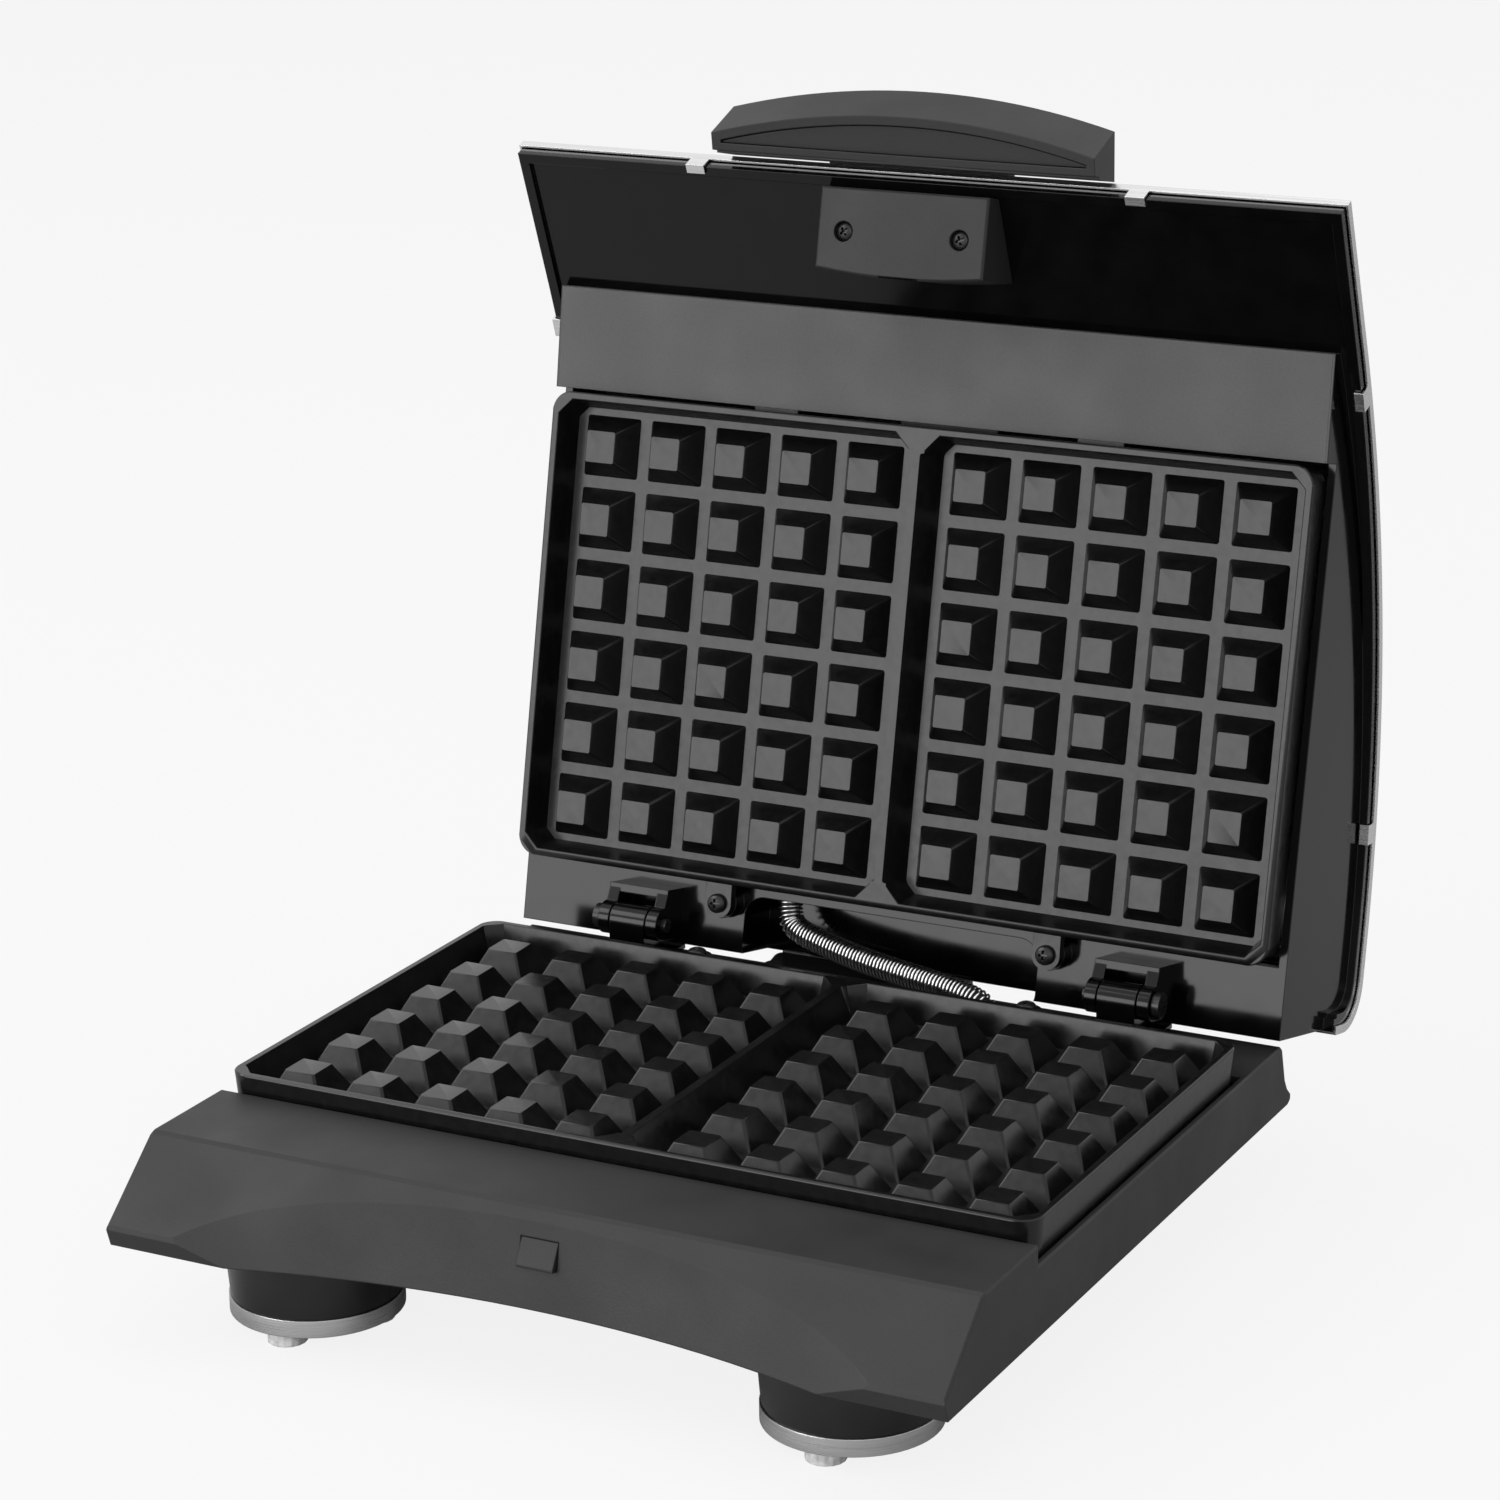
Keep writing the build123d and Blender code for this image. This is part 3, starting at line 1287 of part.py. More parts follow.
def main():
    """Build every node, put the origin at the bottom centre of the box and write the files."""
    os.makedirs("parts", exist_ok=True)
    parts = base_parts()
    parts.update({name: opened(shape) for name, shape in lid_parts().items()})
    parts["cable_spring"] = cable_spring()
    boxes = [shape.bounding_box() for shape in parts.values()]
    low = [min(values) for values in zip(*(tuple(box.min) for box in boxes))]
    high = [max(values) for values in zip(*(tuple(box.max) for box in boxes))]
    shift = Vector(-(low[0] + high[0]) / 2, -(low[1] + high[1]) / 2, -low[2])
    print("nodes", len(parts), "size", [round(b - a, 2) for a, b in zip(low, high)])
    print("hinge axis at y", round(hinge_y + shift.Y, 3), "z", round(hinge_z + shift.Z, 3))
    print("plate frame moved by", [round(value, 3) for value in shift])
    for name, shape in parts.items():
        export_step(shape.moved(Location(shift)), f"parts/{name}.step")


main()
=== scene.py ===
import math
import bmesh
import bpy
from mathutils import Matrix, Vector


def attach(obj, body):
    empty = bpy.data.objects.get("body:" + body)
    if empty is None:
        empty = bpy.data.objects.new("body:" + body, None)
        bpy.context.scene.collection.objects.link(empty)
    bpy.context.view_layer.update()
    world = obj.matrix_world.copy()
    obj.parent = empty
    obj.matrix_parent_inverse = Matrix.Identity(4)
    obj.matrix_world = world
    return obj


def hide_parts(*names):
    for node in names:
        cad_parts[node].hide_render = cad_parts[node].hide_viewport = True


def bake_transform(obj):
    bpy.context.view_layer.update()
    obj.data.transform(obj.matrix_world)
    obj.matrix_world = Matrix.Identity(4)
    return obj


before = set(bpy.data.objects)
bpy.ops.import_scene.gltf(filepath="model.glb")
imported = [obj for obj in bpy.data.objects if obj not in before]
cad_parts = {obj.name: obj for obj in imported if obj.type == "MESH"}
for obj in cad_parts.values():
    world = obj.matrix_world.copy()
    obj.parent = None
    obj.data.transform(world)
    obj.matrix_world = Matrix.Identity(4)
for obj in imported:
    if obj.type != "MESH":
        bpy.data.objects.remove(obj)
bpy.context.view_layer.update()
mm = 0.001

# The CAD's own measures, in mm, counted from the lower plate's floor
layout = {"shiftY": -13.952, "shiftZ": 46.0, "hingeY": 82.1, "hingeZ": 9.6, "openAngle": 102.2,
          "plateGap": 18.1}


def onBase(x, y, z):
    return Vector((x, y + layout["shiftY"], z + layout["shiftZ"])) * mm


def onLid(x, forward, out):
    # forward runs from the upper plate's middle to the handle, out from its floor to the lower plate
    turn = math.radians(layout["openAngle"])
    dy = -forward - layout["hingeY"]
    dz = layout["plateGap"] - out - layout["hingeZ"]
    y = layout["hingeY"] + dy * math.cos(turn) + dz * math.sin(turn)
    z = layout["hingeZ"] - dy * math.sin(turn) + dz * math.cos(turn)
    return onBase(x, y, z)


def lidWay(forward, out):
    return (onLid(0, forward, out) - onLid(0, 0, 0)).normalized()


def addObject(name, data):
    piece = bpy.data.objects.new(name, data)
    bpy.context.scene.collection.objects.link(piece)
    return piece


def meshOf(piece):
    # the mesh that a piece's modifiers give
    bpy.context.view_layer.update()
    return bpy.data.meshes.new_from_object(piece.evaluated_get(bpy.context.evaluated_depsgraph_get()))


def closeLoops(work, loops):
    # side faces from each loop to the next, then the top and the bottom
    count = len(loops[0])
    for lower, upper in zip(loops, loops[1:]):
        for k in range(count):
            n = (k + 1) % count
            work.faces.new((lower[k], lower[n], upper[n], upper[k]))
    work.faces.new(loops[-1])
    work.faces.new(list(reversed(loops[0])))


def toMesh(work, name):
    mesh = bpy.data.meshes.new(name)
    work.to_mesh(mesh)
    work.free()
    return mesh


# Fitted to the photo: place in mm, angles in degrees, lens and sensor in mm, far clip in m
view = {"place": (507.9, -970.25, 472.3), "yaw": 27.715, "pitch": 17.073, "roll": -0.792, "lens": 104.85,
        "sensor": 36, "farClip": 20}


def makeCamera():
    yaw, pitch, roll = (math.radians(view[k]) for k in ("yaw", "pitch", "roll"))
    level = math.cos(pitch)
    ahead = Vector((-math.sin(yaw) * level, math.cos(yaw) * level, -math.sin(pitch)))
    right = Vector((math.cos(yaw), math.sin(yaw), 0))
    up = right.cross(ahead)
    right, up = (right * math.cos(roll) + up * math.sin(roll),
                 up * math.cos(roll) - right * math.sin(roll))
    data = bpy.data.cameras.new("camera")
    data.lens = view["lens"]
    data.sensor_width = view["sensor"]
    data.clip_end = view["farClip"]
    camera = addObject("camera", data)
    camera.matrix_world = Matrix.Translation(Vector(view["place"]) * mm) @ Matrix(
        (right, up, -ahead)).transposed().to_4x4()
    bpy.context.scene.camera = camera


makeCamera()
print("camera set")


def newGroup(name, inputs, outputs):
    group = bpy.data.node_groups.new(name, "ShaderNodeTree")
    for label, kind, value in inputs:
        socket = group.interface.new_socket(label, in_out="INPUT", socket_type=kind)
        if value is not None:
            socket.default_value = value
    for label, kind in outputs:
        group.interface.new_socket(label, in_out="OUTPUT", socket_type=kind)
    entry = group.nodes.new("NodeGroupInput")
    leave = group.nodes.new("NodeGroupOutput")
    return group, entry.outputs, leave.inputs


skinOutputs = [("Height", "NodeSocketFloat"), ("Colour", "NodeSocketColor"),
               ("Roughness", "NodeSocketFloat")]


def addNode(tree, kind, values=None, links=None, **settings):
    node = tree.nodes.new(kind)
    for key, value in settings.items():
        setattr(node, key, value)
    for key, value in (values or {}).items():
        node.inputs[key].default_value = value
    for key, source in (links or {}).items():
        tree.links.new(source, node.inputs[key])
    return node


def giveColour(group, given, out, gain):
    tint = addNode(group, "ShaderNodeVectorMath", {}, {0: given["Colour"], "Scale": gain.outputs["Result"]},
                   operation="SCALE")
    group.links.new(tint.outputs["Vector"], out["Colour"])


def colourAndRoughness(group, given, out, pattern, spread, gains):
    # brightness and roughness both follow the pattern, from the low to the high end of its spread
    ends = {"From Min": spread[0], "From Max": spread[1]}
    gain = addNode(group, "ShaderNodeMapRange", {**ends, "To Min": gains[0], "To Max": gains[1]},
                   {"Value": pattern})
    giveColour(group, given, out, gain)
    rough = addNode(group, "ShaderNodeMapRange", ends, {
        "Value": pattern, "To Min": given["Rough low"], "To Max": given["Rough high"]})
    group.links.new(rough.outputs["Result"], out["Roughness"])


# A noise's scale is perSize over the size in mm; with 1000 its cell would have just that size
grainLook = {"perSize": 700.0, "detail": 2.0, "roughness": 0.6, "broadScale": 38.0, "broadDetail": 3.0,
             "spread": (0.6, 1.4), "broadSpread": (0.3, 0.7), "rough": (0.46, 0.62)}
brushLook = {"detail": 4.0, "roughness": 0.7, "spread": (0.25, 0.75), "gains": (0.86, 1.1)}
coatLook = {"perSize": 900.0, "detail": 2.0, "roughness": 0.5, "speckScale": 3200.0, "speckDetail": 1.0,
            "spread": (0.3, 0.7), "gains": (0.8, 1.25)}


def grainGroup():
    # the fine spark-eroded texture of moulded plastic: two sizes of grain that the colour follows
    group, given, out = newGroup(
        "mouldGrain",
        [("Size mm", "NodeSocketFloat", 0.35), ("Colour", "NodeSocketColor", (0.04, 0.04, 0.04, 1)),
         ("Variation", "NodeSocketFloat", 0.2)],
        skinOutputs)
    place = addNode(group, "ShaderNodeTexCoord")
    look = grainLook
    scale = addNode(group, "ShaderNodeMath", {0: look["perSize"]}, {1: given["Size mm"]},
                    operation="DIVIDE")
    fine = addNode(group, "ShaderNodeTexNoise", {"Detail": look["detail"], "Roughness": look["roughness"]},
                   {"Vector": place.outputs["Object"], "Scale": scale.outputs[0]})
    broad = addNode(group, "ShaderNodeTexNoise", {
        "Scale": look["broadScale"], "Detail": look["broadDetail"]}, {"Vector": place.outputs["Object"]})
    group.links.new(fine.outputs["Fac"], out["Height"])
    both = addNode(group, "ShaderNodeMath", {}, {0: fine.outputs["Fac"], 1: broad.outputs["Fac"]},
                   operation="ADD")
    low = addNode(group, "ShaderNodeMath", {0: 1.0}, {1: given["Variation"]}, operation="SUBTRACT")
    high = addNode(group, "ShaderNodeMath", {0: 1.0}, {1: given["Variation"]}, operation="ADD")
    gain = addNode(group, "ShaderNodeMapRange", {
        "From Min": look["spread"][0], "From Max": look["spread"][1]},
        {"Value": both.outputs[0], "To Min": low.outputs[0], "To Max": high.outputs[0]})
    giveColour(group, given, out, gain)
    rough = addNode(group, "ShaderNodeMapRange", {
        "From Min": look["broadSpread"][0], "From Max": look["broadSpread"][1],
        "To Min": look["rough"][0], "To Max": look["rough"][1]}, {"Value": broad.outputs["Fac"]})
    group.links.new(rough.outputs["Result"], out["Roughness"])
    return group


def brushGroup():
    # fine lines from brushing: noise drawn out along one axis
    group, given, out = newGroup(
        "brushLines",
        [("Stretch", "NodeSocketVector", (8.0, 900.0, 900.0)),
         ("Colour", "NodeSocketColor", (0.7, 0.7, 0.7, 1)),
         ("Rough low", "NodeSocketFloat", 0.2), ("Rough high", "NodeSocketFloat", 0.36)],
        skinOutputs)
    place = addNode(group, "ShaderNodeTexCoord")
    drawn = addNode(group, "ShaderNodeVectorMath", {}, {0: place.outputs["Object"], 1: given["Stretch"]},
                    operation="MULTIPLY")
    look = brushLook
    lines = addNode(group, "ShaderNodeTexNoise", {
        "Scale": 1.0, "Detail": look["detail"], "Roughness": look["roughness"]},
        {"Vector": drawn.outputs["Vector"]})
    group.links.new(lines.outputs["Fac"], out["Height"])
    colourAndRoughness(group, given, out, lines.outputs["Fac"], look["spread"], look["gains"])
    return group


def coatGroup():
    # a sprayed or polished black skin: slow waves like orange peel, with specks in a coating
    group, given, out = newGroup(
        "smoothSkin",
        [("Wave mm", "NodeSocketFloat", 3.0), ("Speck", "NodeSocketFloat", 0.0),
         ("Colour", "NodeSocketColor", (0.02, 0.02, 0.02, 1)), ("Rough low", "NodeSocketFloat", 0.1),
         ("Rough high", "NodeSocketFloat", 0.2)],
        skinOutputs)
    place = addNode(group, "ShaderNodeTexCoord")
    look = coatLook
    scale = addNode(group, "ShaderNodeMath", {0: look["perSize"]}, {1: given["Wave mm"]},
                    operation="DIVIDE")
    wave = addNode(group, "ShaderNodeTexNoise", {"Detail": look["detail"], "Roughness": look["roughness"]},
                   {"Vector": place.outputs["Object"], "Scale": scale.outputs[0]})
    fine = addNode(group, "ShaderNodeTexNoise", {
        "Scale": look["speckScale"], "Detail": look["speckDetail"]}, {"Vector": place.outputs["Object"]})
    speck = addNode(group, "ShaderNodeMath", {}, {0: fine.outputs["Fac"], 1: given["Speck"]},
                    operation="MULTIPLY")
    height = addNode(group, "ShaderNodeMath", {}, {0: wave.outputs["Fac"], 1: speck.outputs[0]},
                     operation="ADD")
    group.links.new(height.outputs[0], out["Height"])
    colourAndRoughness(group, given, out, wave.outputs["Fac"], look["spread"], look["gains"])
    return group


groups = {"grain": grainGroup(), "brush": brushGroup(), "skin": coatGroup()}


def makeFinish(name, effect, settings, bump, edge, shader):
    # one finish: the shared effect, bump depth and edge radius in mm, and the shader's own values
    material = bpy.data.materials.new(name)
    material.use_nodes = True
    tree = material.node_tree
    tree.nodes.clear()
    body = addNode(tree, "ShaderNodeBsdfPrincipled", shader)
    end = addNode(tree, "ShaderNodeOutputMaterial")
    tree.links.new(body.outputs["BSDF"], end.inputs["Surface"])
    skin = addNode(tree, "ShaderNodeGroup", node_tree=groups[effect])
    for key, value in settings.items():
        skin.inputs[key].default_value = value
    tree.links.new(skin.outputs["Colour"], body.inputs["Base Color"])
    tree.links.new(skin.outputs["Roughness"], body.inputs["Roughness"])
    relief = addNode(tree, "ShaderNodeBump", {"Strength": 1.0, "Distance": bump * mm},
                     {"Height": skin.outputs["Height"]})
    if edge:
        soft = addNode(tree, "ShaderNodeBevel", {"Radius": edge * mm}, samples=6)
        tree.links.new(soft.outputs["Normal"], relief.inputs["Normal"])
    tree.links.new(relief.outputs["Normal"], body.inputs["Normal"])
    return material


def grey(value):
    return (value, value, value, 1)


# Each finish: effect, its settings, bump depth, edge radius, shader values
finishLooks = {
    "texturedBlack": ("grain", {"Size mm": 0.42, "Colour": grey(0.019), "Variation": 0.22},
        0.035, 0.5, {"Specular IOR Level": 0.36}),
    "glossBlack": ("skin", {"Wave mm": 9.0, "Colour": grey(0.0025),
        "Rough low": 0.09, "Rough high": 0.14},
        0.006, 0.4, {"Specular IOR Level": 0.3}),
    # the band's textured black, painted lighter (0.06 against 0.019) as a painted highlight for the light
    # the band catches
    "bandBlackPaintedLighter": ("grain", {"Size mm": 0.34, "Colour": grey(0.06), "Variation": 0.2},
        0.025, 0.0, {"Specular IOR Level": 0.5}),
    "smoothBlack": ("skin", {"Wave mm": 7.0, "Colour": grey(0.006),
        "Rough low": 0.2, "Rough high": 0.28},
        0.006, 0.6, {"Specular IOR Level": 0.45}),
    "nonStick": ("skin", {"Wave mm": 2.2, "Speck": 0.3, "Colour": grey(0.006),
        "Rough low": 0.2, "Rough high": 0.27},
        0.003, 0.0, {"Specular IOR Level": 0.36}),
    "stainless": ("brush", {"Stretch": (9.0, 1400.0, 1400.0), "Colour": grey(0.74),
        "Rough low": 0.2, "Rough high": 0.34},
        0.006, 0.15, {"Metallic": 1.0}),
    "ringSteel": ("brush", {"Stretch": (30.0, 30.0, 2600.0), "Colour": grey(0.62),
        "Rough low": 0.22, "Rough high": 0.38},
        0.01, 0.35, {"Metallic": 1.0}),
    "padSilicone": ("skin", {"Wave mm": 2.0, "Colour": grey(0.74),
        "Rough low": 0.3, "Rough high": 0.4},
        0.02, 0.5, {"Subsurface Weight": 0.3, "Subsurface Radius": (0.004, 0.004, 0.004)}),
    "blackScrew": ("skin", {"Wave mm": 0.8, "Speck": 0.4, "Colour": grey(0.02),
        "Rough low": 0.24, "Rough high": 0.36},
        0.01, 0.15, {"Metallic": 0.4}),
    "heaterSteel": ("brush", {"Stretch": (300.0, 300.0, 300.0), "Colour": grey(0.3),
        "Rough low": 0.35, "Rough high": 0.6},
        0.03, 0.4, {"Metallic": 1.0}),
    "shieldAluminium": ("brush", {"Stretch": (12.0, 700.0, 700.0), "Colour": grey(0.78),
        "Rough low": 0.25, "Rough high": 0.4},
        0.01, 0.15, {"Metallic": 1.0}),
    "thermostatBody": ("skin", {"Wave mm": 2.0, "Colour": (0.16, 0.09, 0.05, 1),
        "Rough low": 0.4, "Rough high": 0.5},
        0.02, 0.3, {"Specular IOR Level": 0.4}),
    "blackRubber": ("grain", {"Size mm": 0.3, "Colour": grey(0.022), "Variation": 0.15},
        0.03, 0.3, {"Specular IOR Level": 0.3}),
    "terminalPlastic": ("skin", {"Wave mm": 2.0, "Colour": (0.78, 0.76, 0.7, 1),
        "Rough low": 0.4, "Rough high": 0.5},
        0.02, 0.2, {"Specular IOR Level": 0.4}),
    "fuseSleeve": ("grain", {"Size mm": 0.5, "Colour": (0.8, 0.79, 0.75, 1), "Variation": 0.15},
        0.08, 0.0, {"Specular IOR Level": 0.2}),
    "springSteel": ("brush", {"Stretch": (600.0, 600.0, 600.0), "Colour": grey(0.78),
        "Rough low": 0.14, "Rough high": 0.24},
        0.004, 0.0, {"Metallic": 1.0}),
    "redLens": ("skin", {"Wave mm": 4.0, "Colour": (0.6, 0.02, 0.015, 1),
        "Rough low": 0.05, "Rough high": 0.1},
        0.01, 0.3, {"Transmission Weight": 0.6, "IOR": 1.49}),
    "greenLens": ("skin", {"Wave mm": 4.0, "Colour": (0.02, 0.42, 0.1, 1),
        "Rough low": 0.05, "Rough high": 0.1},
        0.01, 0.3, {"Transmission Weight": 0.6, "IOR": 1.49}),
}
finish = {name: makeFinish(name, *look) for name, look in finishLooks.items()}

wearsFinish = {
    "base_housing": "texturedBlack", "base_bottom_cover": "texturedBlack", "feet": "smoothBlack",
    "foot_rings": "ringSteel", "foot_pads": "padSilicone", "lower_plate": "nonStick",
    "lower_plate_screws": "blackScrew", "lower_heater": "heaterSteel",
    "lower_heat_shield": "shieldAluminium", "thermostat": "thermostatBody",
    "latch_catch": "texturedBlack", "base_hinge_brackets": "glossBlack", "hinge_pins": "blackScrew",
    "cord_gland": "blackRubber", "terminal_block": "terminalPlastic", "lid_liner": "glossBlack",
    "lid_cover": "stainless", "upper_plate": "nonStick", "upper_plate_screws": "blackScrew",
    "upper_heater": "heaterSteel", "upper_heat_shield": "shieldAluminium", "thermal_fuse": "fuseSleeve",
    "lid_hinge_brackets": "glossBlack", "handle": "texturedBlack", "handle_panel": "texturedBlack",
    "handle_bracket": "texturedBlack", "handle_screws": "blackScrew", "power_lamp_lens": "redLens",
    "ready_lamp_lens": "greenLens", "cable_spring": "springSteel",
}
for nodeName, finishName in wearsFinish.items():
    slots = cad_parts[nodeName].data.materials
    for index in range(len(slots)):
        slots[index] = finish[finishName]
print("finishes on", len(wearsFinish), "nodes")


# Radii and lengths in mm, angles in degrees; a pyramid's corner is told by its rise and its length
plateEdges = {"pyramidCorner": 0.7, "cornerSteps": 3, "edge": 0.3, "edgeSteps": 3, "shortest": 1.6,
              "sharpOver": 31.0, "merge": 0.002, "flatUnder": 0.6, "cornerOver": 20, "edgeOver": 24,
              "rise": (6.0, 9.5), "longest": 12.0, "steepest": 0.93, "profile": 0.5}


def softenPlate(name, node, up, body):
    # a merged copy of a cast plate, with the radii that a casting and its coating give its outer edges
    look = plateEdges
    work = bmesh.new()
    work.from_mesh(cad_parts[node].data)
    bmesh.ops.remove_doubles(work, verts=work.verts, dist=look["merge"] * mm)
    bmesh.ops.dissolve_limit(work, angle_limit=math.radians(look["flatUnder"]), verts=work.verts,
                             edges=work.edges)

    def bends(edge, least):
        return edge.is_manifold and edge.calc_face_angle() > math.radians(least)

    def leaning(edge):
        way = edge.verts[1].co - edge.verts[0].co
        rise = abs(way.dot(up))
        least, most = look["rise"]
        return (least * mm < rise < most * mm and way.length < look["longest"] * mm
                and rise < way.length * look["steepest"])

    def roundEdges(edges, radius, steps):
        bmesh.ops.bevel(work, geom=edges, offset=radius * mm, offset_type="OFFSET", segments=steps,
                        profile=look["profile"], affect="EDGES", clamp_overlap=False)

    corners = [e for e in work.edges if bends(e, look["cornerOver"]) and leaning(e)]
    roundEdges(corners, look["pyramidCorner"], look["cornerSteps"])
    roundEdges([e for e in work.edges if bends(e, look["edgeOver"]) and e.is_convex and not leaning(e)
                and e.calc_length() > look["shortest"] * mm], look["edge"], look["edgeSteps"])
    for face in work.faces:
        face.smooth = True
    for edge in work.edges:
        edge.smooth = not bends(edge, look["sharpOver"])
    mesh = toMesh(work, name)
    mesh.materials.append(finish["nonStick"])
    piece = addObject(name, mesh)
    even = piece.modifiers.new("even", "WEIGHTED_NORMAL")
    even.keep_sharp = True
    done = meshOf(piece)
    piece.modifiers.remove(even)
    piece.data = done
    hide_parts(node)
    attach(piece, body)
    print(name, len(done.polygons), "faces,", len(corners), "corners rounded")


softenPlate("lowerWafflePlate", "lower_plate", Vector((0, 0, 1)), "base")
softenPlate("upperWafflePlate", "upper_plate", lidWay(0, 1), "lid")


def newTree(name, inputs):
    tree = bpy.data.node_groups.new(name, "GeometryNodeTree")
    tree.interface.new_socket("Geometry", in_out="INPUT", socket_type="NodeSocketGeometry")
    for label, kind, value in inputs:
        socket = tree.interface.new_socket(label, in_out="INPUT", socket_type=kind)
        if value is not None:
            socket.default_value = value
    tree.interface.new_socket("Geometry", in_out="OUTPUT", socket_type="NodeSocketGeometry")
    entry = tree.nodes.new("NodeGroupInput")
    leave = tree.nodes.new("NodeGroupOutput")
    return tree, entry.outputs, leave.inputs


def endTree(tree, geometry, material, leave):
    whole = addNode(tree, "GeometryNodeRealizeInstances", {}, {"Geometry": geometry})
    painted = addNode(tree, "GeometryNodeSetMaterial", {}, {
        "Geometry": whole.outputs["Geometry"], "Material": material})
    tree.links.new(painted.outputs["Geometry"], leave["Geometry"])


def growPiece(name, source, tree, values):
    # runs a tree on a source object, which it uses up, and keeps the result as a plain mesh
    modifier = source.modifiers.new("grow", "NODES")
    modifier.node_group = tree
    sockets = {item.name: item.identifier for item in tree.interface.items_tree if item.in_out == "INPUT"}
    for label, value in values.items():
        modifier[sockets[label]] = value
    grown = meshOf(source)
    source.modifiers.remove(modifier)
    piece = addObject(name, grown)
    bpy.data.objects.remove(source)
    return piece


# Coil and core are radii, wire is a diameter; the path goes from the lid to the base, in mm
spring = {"turns": 70, "stepsPerTurn": 16, "coil": 3.4, "wire": 0.7, "wireSides": 6, "core": 2.7,
          "coreSides": 20, "coreSteps": 64, "curveSteps": 24, "curveOrder": 3}
springPath = [(-34, 99.4, 19.9), (-34, 98.2, 14.6), (-32.0, 96.6, 9.3), (-20.0, 93.0, 7.4),
              (-6.0, 89.0, 5.9), (10.0, 84.9, 5.3), (26.0, 80.6, 5.0), (36.4, 78.0, 3.4),
              (37.5, 77.7, -0.4), (37.5, 77.7, -4.6)]


def springTree():
    # a wire wound round a curve; with no turns and no coil radius it is a plain tube
    tree, given, leave = newTree("coilOnPath", [
        ("Turns", "NodeSocketFloat", 90.0), ("Steps", "NodeSocketInt", 900),
        ("Coil radius", "NodeSocketFloat", 0.0034), ("Wire radius", "NodeSocketFloat", 0.0003),
        ("Wire sides", "NodeSocketInt", 6),
        ("Finish", "NodeSocketMaterial", None)])
    line = addNode(tree, "GeometryNodeResampleCurve", {}, {
        "Curve": given["Geometry"], "Count": given["Steps"]})
    along = addNode(tree, "GeometryNodeSplineParameter")
    turned = addNode(tree, "ShaderNodeMath", {}, {0: along.outputs["Factor"], 1: given["Turns"]},
                     operation="MULTIPLY")
    angle = addNode(tree, "ShaderNodeMath", {1: 2 * math.pi}, {0: turned.outputs[0]}, operation="MULTIPLY")
    tangent = addNode(tree, "GeometryNodeInputTangent")
    normal = addNode(tree, "GeometryNodeInputNormal")
    spoke = addNode(tree, "ShaderNodeVectorRotate", {}, {
        "Vector": normal.outputs["Normal"], "Axis": tangent.outputs["Tangent"], "Angle": angle.outputs[0]})
    reach = addNode(tree, "ShaderNodeVectorMath", {}, {
        0: spoke.outputs["Vector"], "Scale": given["Coil radius"]}, operation="SCALE")
    coil = addNode(tree, "GeometryNodeSetPosition", {}, {
        "Geometry": line.outputs["Curve"], "Offset": reach.outputs["Vector"]})
    section = addNode(tree, "GeometryNodeCurvePrimitiveCircle", {}, {
        "Resolution": given["Wire sides"], "Radius": given["Wire radius"]})
    wire = addNode(tree, "GeometryNodeCurveToMesh", {"Fill Caps": True},
                   {"Curve": coil.outputs["Geometry"], "Profile Curve": section.outputs["Curve"]})
    smooth = addNode(tree, "GeometryNodeSetShadeSmooth", {"Shade Smooth": True},
                     {"Geometry": wire.outputs["Mesh"]})
    endTree(tree, smooth.outputs["Geometry"], given["Finish"], leave)
    return tree


def layPath():
    data = bpy.data.curves.new("springPath", "CURVE")
    data.dimensions = "3D"
    data.twist_mode = "MINIMUM"
    data.resolution_u = spring["curveSteps"]
    run = data.splines.new("NURBS")
    run.points.add(len(springPath) - 1)
    for point, spot in zip(run.points, springPath):
        point.co = (*onBase(*spot), 1)
    run.order_u = spring["curveOrder"]
    run.use_endpoint_u = True
    return addObject("springPath", data)


def makeSpring():
    coilTree = springTree()
    leads = growPiece("springLeads", layPath(), coilTree, {
        "Turns": 0.0, "Steps": spring["coreSteps"], "Coil radius": 0.0,
        "Wire radius": spring["core"] * mm, "Wire sides": spring["coreSides"],
        "Finish": finish["blackRubber"]})
    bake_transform(leads)
    piece = growPiece("cableSpringCoil", layPath(), coilTree, {
        "Turns": float(spring["turns"]), "Steps": spring["turns"] * spring["stepsPerTurn"],
        "Coil radius": spring["coil"] * mm, "Wire radius": spring["wire"] / 2 * mm,
        "Wire sides": spring["wireSides"], "Finish": finish["springSteel"]})
    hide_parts("cable_spring")
    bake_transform(piece)


makeSpring()
print("cable spring wound")


# Each trim: the frame its section is in, the section, its reach along x, slot, finish and body
trims = {
    # the band panel wears textured black painted lighter: a painted highlight, not a different plastic
    "bandPanel": (onLid, [(68.6, 4.32), (68.6, 4.42), (97.4, 6.2), (97.4, 6.1)], (-117.4, 117.4),
                  "textured_black", "bandBlackPaintedLighter", "lid"),
    "lampHolder": (onLid, [(58.5, -20.5), (58.5, -12.0), (72.5, -12.0), (72.5, -14.8)], (-15.0, 15.0),
                   "gloss_black", "glossBlack", "lid"),
    "rearSill": (onBase, [(93.6, -4.0), (93.6, 2.8), (94.2, 3.4), (95.8, 3.4), (96.0, -4.0)], (-34.0, 25.0),
                 "textured_black", "glossBlack", "base"),
}


def makeTrim(name, place, section, reach, slot, finishName, body):
    # a strip with the same section all along its width: (forward, out) on the lid, (y, z) on the base
    work = bmesh.new()
    ends = [[work.verts.new(place(x, *spot)) for spot in section] for x in reach]
    closeLoops(work, ends)
    bmesh.ops.recalc_face_normals(work, faces=work.faces)
    mesh = toMesh(work, name)
    mesh.materials.append(finish[finishName])
    piece = addObject(name, mesh)
    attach(piece, body)


for trimName, shape in trims.items():
    makeTrim(trimName, *shape)
print("band panel, lamp holder and rear sill laid on")


